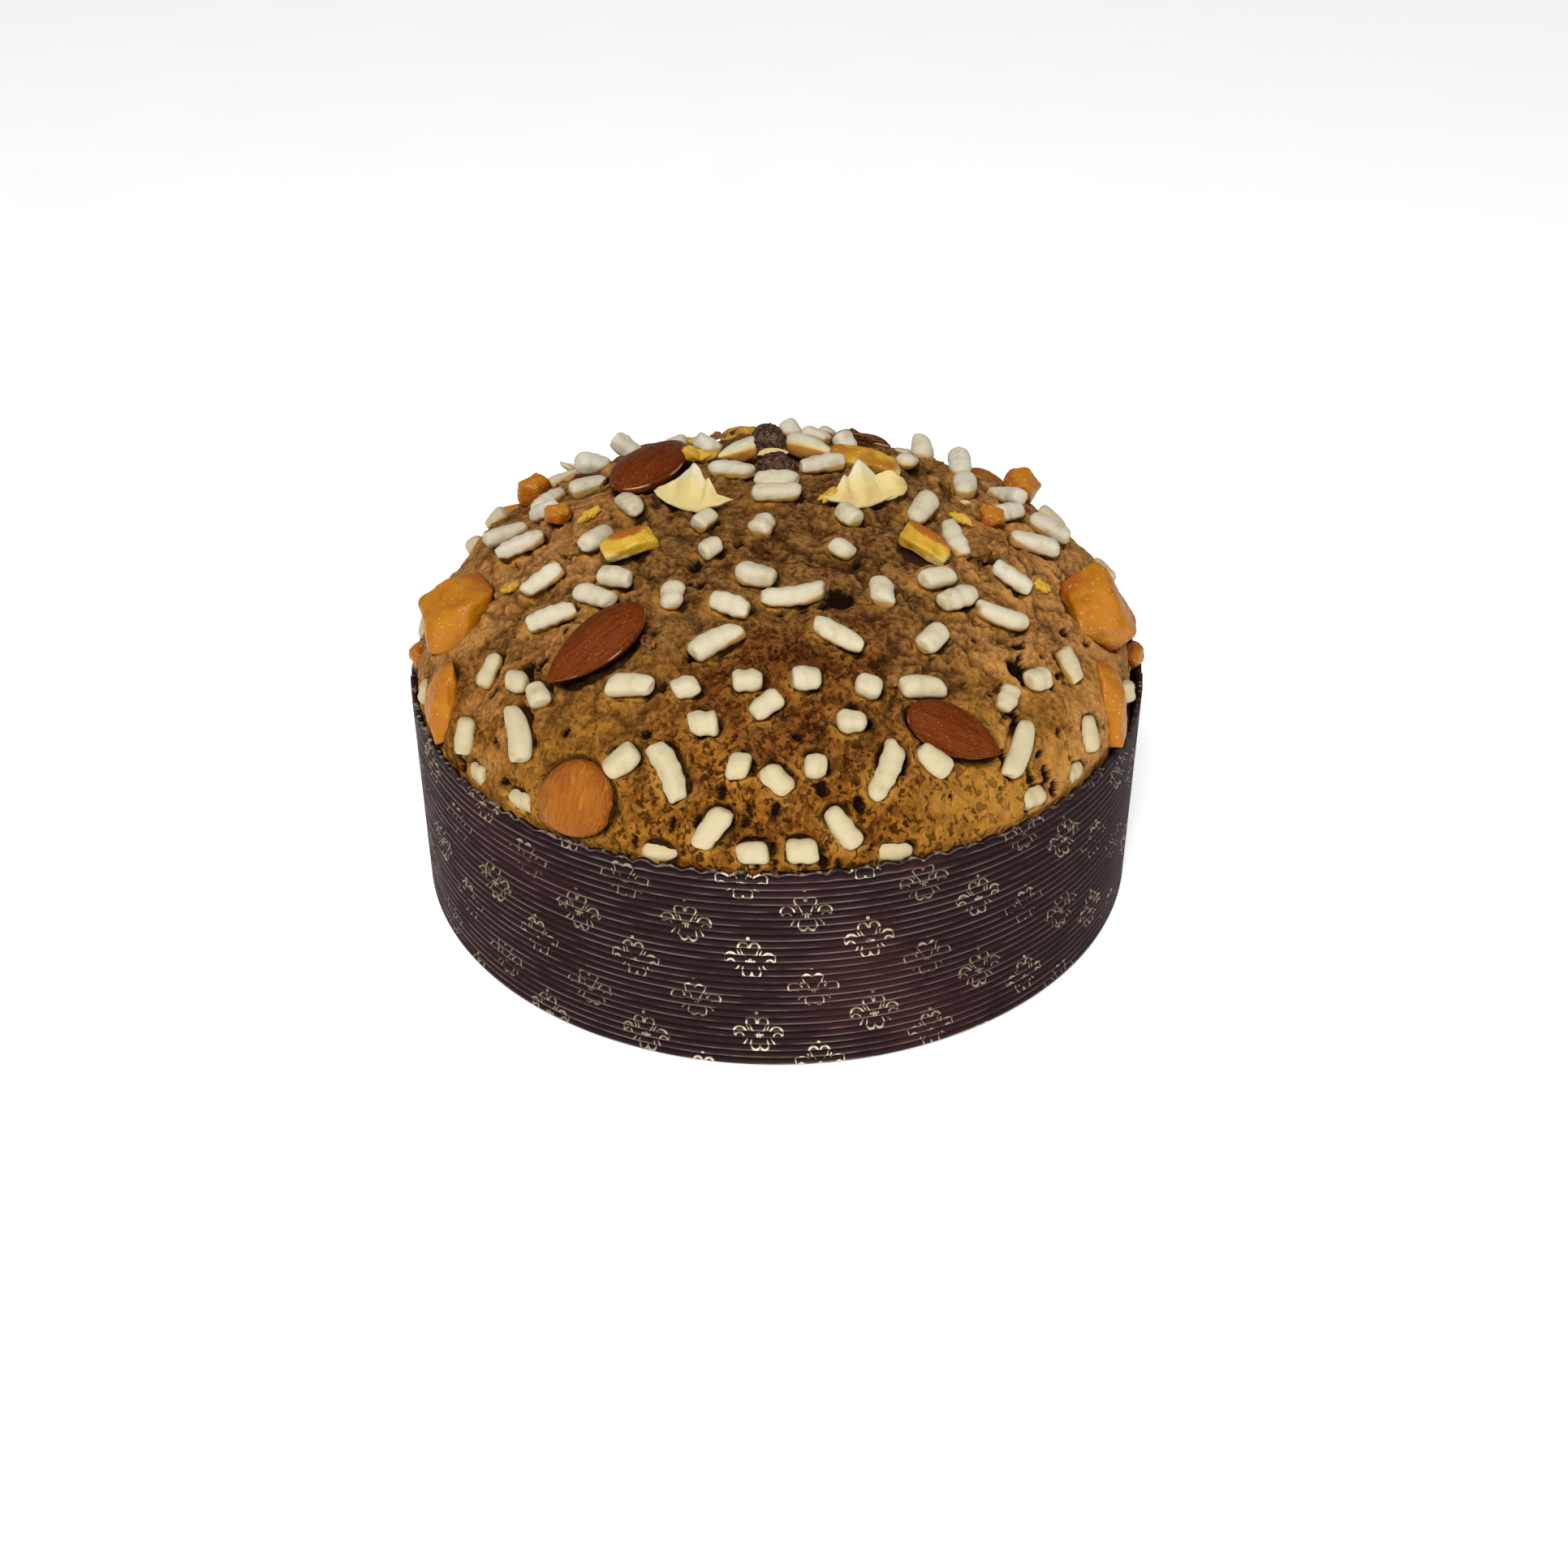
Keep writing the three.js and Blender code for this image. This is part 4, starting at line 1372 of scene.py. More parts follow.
TOPPINGS = (
    Topping(
        Kind.ALMOND, "almond_crown", (29, 15.5, 9), 2.2, 22.5, -124.5, 84,
        out=0.2, roll=-6, spin=193, grow=1.05, slide=(-1.3, -0.6),
    ),
    Topping(Kind.ALMOND, "almond_left", (28, 13.5, 8), 1.4, 42, -39, -18),
    Topping(Kind.ALMOND, "almond_right", (24, 12, 7.5), 0.8, 58, 30.5, 48),
    Topping(
        Kind.BUTTON, "almond_round", (18, 17.5, 7.5), 0.8, 77, -32, 0,
        out=2.6, roll=-24, grow=1.03, slide=(-2.4, 0.6),
    ),
    Topping(
        Kind.FRUIT, "apricot", (23, 21, 14), 1.4, 60, 79, -8,
        pair=True, out=0.4, roll=32, grow=0.93,
    ),
    Topping(
        Kind.FRUIT, "apricot_side", (21, 9, 6.5), 0.4, 79, 67, -22,
        pair=True, out=2.4, roll=20, slide=(3.2, 0.0),
    ),
    Topping(Kind.FRUIT, "apricot_edge", (7.5, 6.5, 6), 0, 83, 86, 10, pair=True, out=1.2),
    Topping(
        Kind.FRUIT, "apricot_shoulder", (10, 9, 9), 1.6, 55, 124, 0,
        pair=True, out=0.6, roll=25,
    ),
    Topping(Kind.FRUIT, "amber_bit", (7, 6, 6), 0.6, 33.5, 97, 20, pair=True),
    Topping(
        Kind.PEEL, "peel", (12, 7.5, 5), 0.8, 20.7, 62, 12,
        pair=True, out=0.8, roll=18, grow=1.12, spin=-10, slide=(0.0, 2.6),
    ),
    Topping(
        Kind.PEEL, "peel_crown", (16.5, 8, 6), 1.2, 20.5, 136, -46,
        out=-1.6, roll=25, grow=1.15, slide=(0.0, -3.0),
    ),
    Topping(
        Kind.FLAKE, "flake", (20, 11, 3), 2.2, 11.5, 104, 8,
        pair=True, roll=50, grow=0.96, slide=(0.6, -1.9),
    ),
    Topping(
        Kind.CHIP, "almond_chip", (11.5, 7, 6), 1.8, 20, 164, 70,
        pair=True, out=-0.9, roll=25, grow=1.35, spin=180, slide=(-1.2, 0.8),
    ),
    Topping(Kind.CHIP, "almond_bit", (8, 6.5, 5), 1.0, 30, 131, 10, slide=(-3.0, -2.0)),
    Topping(
        Kind.NUB, "cocoa_nub_front", (9, 6.5, 7), 1.0, 13, 180, 90,
        out=-0.5, grow=1.2, slide=(-3.4, 0.0),
    ),
    Topping(
        Kind.NUB, "cocoa_nub_back", (8, 7.5, 9), 1.6, 21.5, -177, 0,
        out=-1.4, grow=1.4, slide=(0.0, -2.4),
    ),
    Topping(
        Kind.ALMOND, "almond_back_high", (27, 14, 8), 1.2, 53, 164, 55,
        out=-2.8, slide=(2.4, 1.7),
    ),
    Topping(Kind.ALMOND, "almond_back_low", (25.5, 13.5, 8), 1.0, 66, -150, 50, out=-1.0),
    Topping(Kind.BUTTON, "almond_back_round", (17.5, 17, 8), 0.8, 66, 136, 0, out=-0.8),
    Topping(Kind.FRUIT, "apricot_back", (22, 19, 12), 0.9, 68, -177, 15),
    Topping(Kind.FRUIT, "apricot_back_left", (18, 10, 8), 0.4, 72, -124, 20, out=1.6),
    Topping(Kind.PEEL, "peel_back", (13, 8, 5), 0.8, 52, -172, 40),
    Topping(Kind.FLAKE, "flake_back", (17, 10, 3), 1.6, 60, -139, -30, roll=45),
)


@dataclass
class LaidTopping(ABC):
    """One large topping in its place. Each kind shapes it from a unit ball in its own way."""

    topping: Topping
    node: str
    side: int
    laid: Laid
    finish: ClassVar[Finish]
    slot: ClassVar[str]
    piece: ClassVar[str]
    fineness: ClassVar[int] = 5
    flatness: ClassVar[float] = 0.6  # how far its hollow in the crust follows its thickness

    @property
    def half(self) -> Array:
        """Half the topping's width, length and thickness."""
        length, width, thickness = self.topping.size
        return np.array([width, length, thickness]) / 2 * self.topping.grow

    @property
    def shown(self) -> Laid:
        """Where the topping is seen: raised, slid, rolled about its length and spun."""
        laid, topping = self.laid, self.topping
        across, along = topping.slide
        shift = laid.normal * topping.out + laid.side * (self.side * across) + laid.axis * along
        return laid.moved(shift).rolled(self.side * topping.roll).spun(self.side * topping.spin)

    @property
    def shift(self) -> float:
        """Where this topping's own noise starts."""
        return 7.3 * (1 + sum(map(ord, self.node)) % 89)

    def lumps(self, local: Array, size: float, octaves: int) -> Array:
        """Noise that is this topping's own."""
        return lumps(local, size, octaves, self.shift)

    def swollen(self, unit: Array, local: Array, reach: float, size: float, octaves: int) -> Array:
        """Points moved in and out by the topping's own noise."""
        return local + unit * (reach * self.lumps(local, size, octaves))[:, None]

    def start(self, bm: bmesh.types.BMesh) -> None:
        """Makes the faces that the shape is drawn from."""
        ball(bm, self.fineness)

    @abstractmethod
    def shape(self, unit: Array) -> Array:
        """Shapes the topping, which lies along Y with its thickness along Z.

        Args:
            unit: Points of the faces that it starts from.

        Returns:
            Its points in millimetres.
        """

    def notes(self, unit: Array, local: Array) -> dict[str, Array]:
        """What the finish reads at each vertex, by its starting and its finished point."""
        return {}

    def crust_gap(self, places: Array) -> Array:
        """How far points lie outside the topping taken as an ellipsoid.

        Args:
            places: The points, one a row.

        Returns:
            The distances in millimetres.
        """
        shown = self.shown
        turned = (places - shown.middle) @ np.array([shown.side, shown.axis, shown.normal]).T
        turned[:, 2] *= self.flatness
        stretch = np.linalg.norm(turned / self.half, axis=1)
        return (stretch - 1) * np.linalg.norm(turned, axis=1) / np.maximum(stretch, 1e-6)

    def build(self, material: Material) -> Object:
        """Builds the topping as a piece that stands for its node.

        Args:
            material: Its finish.

        Returns:
            The piece.
        """
        bm = bmesh.new()
        self.start(bm)
        unit = places_of(bm.verts)
        local = self.shape(unit)
        mesh = mesh_from(bm, f"{self.node}_{self.piece}", self.shown.placed(local))
        for name, values in self.notes(unit, local).items():
            note(mesh, name, values)
        return show(mesh, material, self.slot, [self.node])


@dataclass
class Almond(LaidTopping):
    """A whole almond in its wrinkled skin, drawn to a point at one end."""

    finish: ClassVar[Finish] = AlmondSkinFinish()
    slot: ClassVar[str] = "almond_skin"
    piece: ClassVar[str] = "skin"
    fineness: ClassVar[int] = 6
    ridges: float = 5.0
    ridge_height: float = 0.2
    grain: Triple = (0.75, 9.0, 0.75)  # size of a wrinkle across, along and through the almond

    def shape(self, unit: Array) -> Array:
        """Broad and rounded at one end and pointed at the other, with ridges along it.

        Args:
            unit: Points of a unit ball.

        Returns:
            The almond's points in millimetres.
        """
        x, y, z = unit.T
        girth = 1 - 0.22 * y - 0.12 * y**2 - 0.22 * np.maximum(0, y) ** 4
        lens = 1 - 0.18 * abs(x)
        local = np.stack([x * girth, y, z * girth * lens], 1) * self.half
        around = np.stack([x, z, y * 0.16], 1)
        around[:, :2] /= np.maximum(1e-3, np.hypot(x, z))[:, None]
        folds = self.lumps(around * self.ridges, 1.0, 3)
        fade = np.clip(np.hypot(x, z) * 2.2, 0, 1)
        return local - unit * (self.ridge_height * (0.6 - folds) * fade)[:, None]

    def notes(self, unit: Array, local: Array) -> dict[str, Array]:
        """The grain, which runs along the almond, and where the skin is split.

        Args:
            unit: Points of a unit ball.
            local: The almond's points.

        Returns:
            The notes by name.
        """
        split = 1 - smooth(abs(unit[:, 2] - 0.04), 0.015, 0.05)
        broken = smooth(self.lumps(local, 5, 2), 0.0, 0.3)
        return {"grain": local / self.grain + self.shift, "split": split * broken}


@dataclass
class RoundAlmond(LaidTopping):
    """A toasted almond that shows its broad round side."""

    finish: ClassVar[Finish] = ToastedFinish()
    slot: ClassVar[str] = "toasted_almond"
    piece: ClassVar[str] = "side"
    fineness: ClassVar[int] = 6
    flatness: ClassVar[float] = 0.1
    softness: float = 2.6  # the power of its edge

    def shape(self, unit: Array) -> Array:
        """A thick button with a soft edge and shallow creases.

        Args:
            unit: Points of a unit ball.

        Returns:
            The almond's points in millimetres.
        """
        power = self.softness
        angle = np.arctan2(unit[:, 0], unit[:, 1])
        square = np.hypot(unit[:, 0], unit[:, 1]) ** power + abs(unit[:, 2]) ** power
        stretch = square ** (-1 / power) * (0.97 - 0.02 * np.cos(3 * angle))
        local = unit * stretch[:, None] * self.half
        return local * (1 - 0.022 * abs(self.lumps(local / (1, 2, 1), 2.4, 4)))[:, None]

    def notes(self, unit: Array, local: Array) -> dict[str, Array]:
        """The grain, a little longer one way than the other."""
        return {"grain": local / (1.0, 3.0, 1.4) + self.shift}


@dataclass
class Apricot(LaidTopping):
    """A chunk of candied apricot, cut with flat sides that have softened."""

    finish: ClassVar[Finish] = CandiedFinish(
        "candied_fruit", flesh=(180, 114, 17), deep=(168, 100, 13), rind=(150, 72, 10)
    )
    slot: ClassVar[str] = "candied_fruit"
    piece: ClassVar[str] = "chunk"
    cuts: int = 11
    sharpness: float = 20.0
    turn: float = 2.399963  # radians from one cut to the next, the golden angle
    reach: float = 1.02  # the furthest corner, as a share of half the size

    def shape(self, unit: Array) -> Array:
        """The space that a number of flat cuts leave, with rounded corners.

        Args:
            unit: Points of a unit ball.

        Returns:
            The chunk's points in millimetres.
        """
        chance = random.Random(self.node)
        total = np.zeros(len(unit))
        for i in range(self.cuts):
            height = 1 - 2 * (i + 0.5) / self.cuts
            angle = i * self.turn + chance.uniform(-0.3, 0.3)
            ring = math.sqrt(1 - height**2)
            facing = np.array([ring * math.cos(angle), ring * math.sin(angle), height])
            total += np.maximum(0, unit @ facing / chance.uniform(0.8, 1.0)) ** self.sharpness
        local = unit * (total ** (-1 / self.sharpness) * 0.98)[:, None]
        local = np.clip(local, -self.reach, self.reach) * self.half
        return self.swollen(unit, local, 0.5, 4.5, 4)

    def notes(self, unit: Array, local: Array) -> dict[str, Array]:
        """The skin, round the sides."""
        rind = 0.75 * (1 - smooth(unit[:, 2] + 0.25 * self.lumps(local, 5, 2), 0.0, 0.45))
        return {"rind": rind, "tip": np.zeros(len(unit))}


@dataclass
class Peel(LaidTopping):
    """A strip of candied peel: yellow pith in front and orange rind above."""

    finish: ClassVar[Finish] = CandiedFinish(
        "candied_peel", flesh=(204, 164, 52), deep=(182, 134, 30), rind=(158, 88, 20)
    )
    slot: ClassVar[str] = "candied_peel"
    piece: ClassVar[str] = "strip"
    boxiness: float = 6.0  # the power of its section

    def shape(self, unit: Array) -> Array:
        """A curled, skewed strip that is thinner towards its far end.

        Args:
            unit: Points of a unit ball.

        Returns:
            The strip's points in millimetres.
        """
        square = (abs(unit) ** self.boxiness).sum(1) ** (-1 / self.boxiness)
        x, y, z = (unit * (square * 0.86)[:, None]).T
        taper = 1 - 0.2 * np.maximum(0, y) ** 2
        curl = 0.2 - 0.45 * y**2
        skewed = np.stack([0.85 * x * taper + 0.25 * y, y * 1.12, 0.84 * z * taper + curl], 1)
        return self.swollen(unit, skewed * self.half, 0.45, 4.5, 4)

    def notes(self, unit: Array, local: Array) -> dict[str, Array]:
        """The rind, on the upper side away from the front, and the pale end of the pith.

        Args:
            unit: Points of a unit ball.
            local: The strip's points.

        Returns:
            The notes by name.
        """
        x, y, z = unit.T
        rind = smooth(z - 0.8 * self.side * x + 0.2 * self.lumps(local, 4, 3), 0.9, 1.12)
        tip = smooth(y - 0.3 * z + 0.3 * self.side * x, 0.45, 0.7) * (1 - rind)
        if not self.topping.pair:
            rind = 0.75 * smooth(self.lumps(local, 5, 3), -0.5, 0.3)
        return {"rind": rind, "tip": tip}


@dataclass
class Flake(LaidTopping):
    """A thin folded shard of almond whose upper edge is broken into points."""

    finish: ClassVar[Finish] = AlmondFleshFinish()
    slot: ClassVar[str] = "almond_flesh"
    piece: ClassVar[str] = "shard"
    along: ClassVar[int] = 48
    across: ClassVar[int] = 16
    outline: ClassVar[tuple[tuple[float, float, float, float], ...]] = (
        (-1, 0.3, 0.29, 0),  # place along the shard, height of its crest and foot, and its fold
        (-0.76, 0.33, 0.17, 0.2),
        (-0.59, 0.37, 0.13, 0.3),
        (-0.47, 0.52, 0.1, 0.5),
        (-0.35, 0.67, 0.02, 0.9),
        (-0.27, 0.61, -0.03, 0.1),
        (-0.19, 0.66, -0.04, 0),
        (-0.07, 0.85, -0.02, 0.5),
        (0.06, 0.93, -0.02, 1.2),
        (0.22, 0.83, 0, 0.5),
        (0.47, 0.61, 0.06, -0.4),
        (0.63, 0.52, 0.11, 0.3),
        (0.87, 0.42, 0.22, 0.2),
        (1, 0.34, 0.33, 0),
    )
    middle: float = 0.36  # the height that lies on the shard's own line
    stretch: Span = (1.2, 1.12)  # how much larger it is shown, upwards and along

    def start(self, bm: bmesh.types.BMesh) -> None:
        """Makes a slab of two layers.

        Args:
            bm: The bmesh that it goes into.
        """
        bmesh.ops.create_grid(bm, x_segments=self.along, y_segments=self.across, size=1)
        bmesh.ops.solidify(bm, geom=bm.faces[:], thickness=1)
        bmesh.ops.recalc_face_normals(bm, faces=bm.faces[:])
        if self.side < 0:
            bmesh.ops.reverse_faces(bm, faces=bm.faces[:])

    def shape(self, unit: Array) -> Array:
        """The slab drawn out to its points, folded at each and thin at the edge.

        Args:
            unit: Points of the slab.

        Returns:
            The shard's points in millimetres.
        """
        along, across = unit[:, 0], (unit[:, 1] + 1) / 2
        layer = (unit[:, 2] - unit[:, 2].min()) / np.ptp(unit[:, 2])
        stops, *rows = np.array(self.outline).T
        crest, foot, fold = (np.interp(along, stops, row) for row in rows)
        width, length, thickness = self.half * 2
        upwards, lengthwise = self.stretch
        reach = (foot + (crest - foot) * across - self.middle) * width * upwards
        thin = thickness * (1 - 0.8 * smooth(across, 0.2, 1)) * (1 - 0.6 * abs(along) ** 3)
        z = (layer - 0.5) * thin + fold * across
        local = np.stack([-self.side * reach, along * length / 2 * lengthwise, z], 1)
        return local + 0.18 * self.lumps(local, 3.0, 3)[:, None]

    def notes(self, unit: Array, local: Array) -> dict[str, Array]:
        """The whiter tips.

        Args:
            unit: Points of the slab.
            local: The shard's points.

        Returns:
            The notes by name.
        """
        stops, crest, _, _ = np.array(self.outline).T
        high = smooth(np.interp(unit[:, 0], stops, crest), 0.5, 0.8)
        return {"tip": smooth(unit[:, 1], 0.2, 1) * high, "rind": np.zeros(len(unit))}


@dataclass
class Chip(LaidTopping):
    """A broken end of an almond, pale above with skin left underneath."""

    finish: ClassVar[Finish] = AlmondFleshFinish()
    slot: ClassVar[str] = "almond_flesh"
    piece: ClassVar[str] = "chunk"

    def shape(self, unit: Array) -> Array:
        """A blunt cone lying down.

        Args:
            unit: Points of a unit ball.

        Returns:
            The chip's points in millimetres.
        """
        girth = 0.74 - 0.3 * unit[:, 1]
        local = unit * np.stack([girth, np.ones(len(unit)), girth], 1) * self.half
        return self.swollen(unit, local, 0.3, 3.4, 2)

    def notes(self, unit: Array, local: Array) -> dict[str, Array]:
        """The skin on the lower side, and the whiter broken end."""
        return {"rind": smooth(-unit[:, 2], 0.0, 0.3), "tip": smooth(unit[:, 2], -0.1, 0.5)}


@dataclass
class CocoaNub(LaidTopping):
    """A coarse lump of roasted cocoa."""

    finish: ClassVar[Finish] = CocoaFinish()
    slot: ClassVar[str] = "cocoa_nib"
    piece: ClassVar[str] = "lump"

    def shape(self, unit: Array) -> Array:
        """A lump that is broken all over."""
        return self.swollen(unit, unit * self.half * 0.92, 0.7, 2.4, 4)


SHAPES: dict[Kind, type[LaidTopping]] = {
    Kind.ALMOND: Almond,
    Kind.BUTTON: RoundAlmond,
    Kind.FRUIT: Apricot,
    Kind.PEEL: Peel,
    Kind.FLAKE: Flake,
    Kind.CHIP: Chip,
    Kind.NUB: CocoaNub,
}


def lay_toppings(dome: Dome) -> list[LaidTopping]:
    """Lays the large toppings, with both of each pair.

    Args:
        dome: The surface that they lie on.

    Returns:
        The toppings in their places.
    """
    laid = []
    for topping in TOPPINGS:
        for ending, side in {"_right": 1, "_left": -1}.items() if topping.pair else [("", 1)]:
            bearing, turn = side * topping.bearing, side * topping.turn
            place = dome.lay(topping.polar, bearing, turn, topping.lift, topping.size)
            laid.append(SHAPES[topping.kind](topping, topping.name + ending, side, place))
    return laid


def build_toppings(toppings: Iterable[LaidTopping]) -> dict[type, Material]:
    """Builds the large toppings, with one material for each kind.

    Args:
        toppings: The toppings in their places.

    Returns:
        The material of each kind.
    """
    materials: dict[type, Material] = {}
    for topping in toppings:
        kind = type(topping)
        if kind not in materials:
            materials[kind] = topping.finish.material()
        topping.build(materials[kind])
    return materials


# ---- Small broken pieces ----


@dataclass(frozen=True)
class Scrap:
    """A small broken piece: where it lies, how it is turned and rolled, and its size."""

    polar: float
    bearing: float
    turn: float
    roll: float
    size: Triple
    lift: float

    def both(self) -> tuple[Scrap, Scrap]:
        """The piece and its mirror image."""
        turned = {"bearing": -self.bearing, "turn": -self.turn, "roll": -self.roll}
        return self, replace(self, **turned)


CRUST_FLAKES = (
    Scrap(36, 158, 70, 50, (11, 3.5, 1.0), 1.2),
    Scrap(31, 154, 95, 10, (10, 4, 1.0), 1.4),
    Scrap(29, -161, 80, -15, (5, 3.5, 1.0), 1.4),
    Scrap(30, 14, 15, 62, (5.5, 3.5, 0.9), 0.9),
    Scrap(37, -30, 70, 40, (4.5, 3, 0.9), 0.7),
    Scrap(44, 24, 80, 35, (5, 3.5, 0.9), 0.7),
    *Scrap(31, 73, 30, 60, (6, 3.5, 1.0), 0.9).both(),
    *Scrap(27, 112, 80, 45, (7, 3.5, 1.0), 1.0).both(),
    Scrap(50, -172, 60, 40, (6, 4, 1.0), 0.9),
    Scrap(58, 150, 20, 50, (6, 4, 1.0), 0.9),
    Scrap(60, -128, 80, 40, (6, 4, 1.0), 0.9),
)
ALMOND_SPLINTERS = (
    Scrap(14.8, 103, 8, 55, (9.5, 7.5, 1.4), 2.9),
    Scrap(14.2, -178, 92, -35, (7.5, 2.6, 1.6), 2.4),
    Scrap(29, 103, 5, 80, (3.2, 1.0, 0.8), 1.2),
    Scrap(46, 177, 40, 10, (6, 4, 1.8), 0.6),
)
PEEL_SLIVERS = (
    Scrap(6.5, 96, 38, 20, (8, 3, 2.2), 1.0),
    Scrap(19.5, -142, 60, 20, (11, 6, 4), 1.4),
    *Scrap(27, 92, -30, 10, (6.5, 2.6, 2.0), 0.8).both(),
    *Scrap(44, 74, 10, 0, (5, 3.2, 2.0), 0.4).both(),
    Scrap(48, -160, 70, 10, (8, 3, 2.2), 0.8),
    Scrap(70, 160, 40, 10, (6, 3, 2.0), 0.5),
)


@dataclass(frozen=True)
class Scraps:
    """Small broken pieces of one kind, thin and jagged."""

    name: str
    slot: str
    scraps: tuple[Scrap, ...]
    jaggedness: float = 0.5
    fineness: int = 4
    grain: Triple = (1.6, 1.6, 0.2)  # how fast the jagged outline changes in each direction
    seed_step: float = 5.7
    curl: float = 0.1
    curl_pace: float = 0.6

    def build(self, dome: Dome, material: Material) -> Object:
        """The pieces as one mesh.

        Args:
            dome: The surface that they lie on.
            material: Their finish.

        Returns:
            The piece.
        """
        bm = bmesh.new()
        placed = []
        for number, scrap in enumerate(self.scraps):
            unit = ball(bm, self.fineness)
            length, width, thickness = scrap.size
            jagged = lumps(unit * self.grain, 1.0, 2, self.seed_step * number)
            outline = 1 + self.jaggedness * jagged
            local = unit * outline[:, None] * (width / 2, length / 2, thickness / 2)
            local[:, 2] += self.curl * width * np.sin(local[:, 1] * self.curl_pace + number)
            laid = dome.lay(scrap.polar, scrap.bearing, scrap.turn, scrap.lift, scrap.size)
            placed.append(laid.rolled(scrap.roll).placed(local))
        mesh = mesh_from(bm, self.name, np.concatenate(placed))
        return show(mesh, material, self.slot)


def build_scraps(dome: Dome, glaze: Material, toppings: dict[type, Material]) -> None:
    """Builds the small broken pieces with the finishes of the pieces they broke from.

    Args:
        dome: The surface that they lie on.
        glaze: The crust's finish.
        toppings: The finish of each kind of large topping.
    """
    Scraps("crust_scraps", "crust_glaze", CRUST_FLAKES).build(dome, glaze)
    splinters = Scraps("almond_splinters", "almond_flesh", ALMOND_SPLINTERS, jaggedness=0.25)
    splinters.build(dome, toppings[Flake])
    Scraps("peel_slivers", "candied_peel", PEEL_SLIVERS).build(dome, toppings[Peel])


# ---- The cake under its toppings ----


@dataclass(frozen=True)
class Hole:
    """A hole in the crust, darkened by painted shade: where it is, how wide and how deep."""

    polar: float
    bearing: float
    radius: float
    depth: float


HOLES = (
    Hole(24, 20.5, 3.5, 2.6),
    Hole(25.3, 1, 1.5, 1.3),
    Hole(25.3, 8, 1.6, 1.4),
    Hole(25, 14, 1.8, 1.6),
    Hole(26, -61, 1.8, 1.8),
    Hole(52, 50, 2.2, 2.0),
    Hole(52, -52, 2.0, 1.8),
    Hole(36, -20, 1.5, 1.6),
    Hole(40, -60, 1.6, 1.6),
    Hole(70, 12, 1.5, 1.6),
    Hole(17, -38, 1.7, 1.7),
    Hole(17, 38, 1.6, 1.6),
    Hole(77, 86, 2.0, 2.2),
    Hole(77, -86, 2.0, 2.2),
)


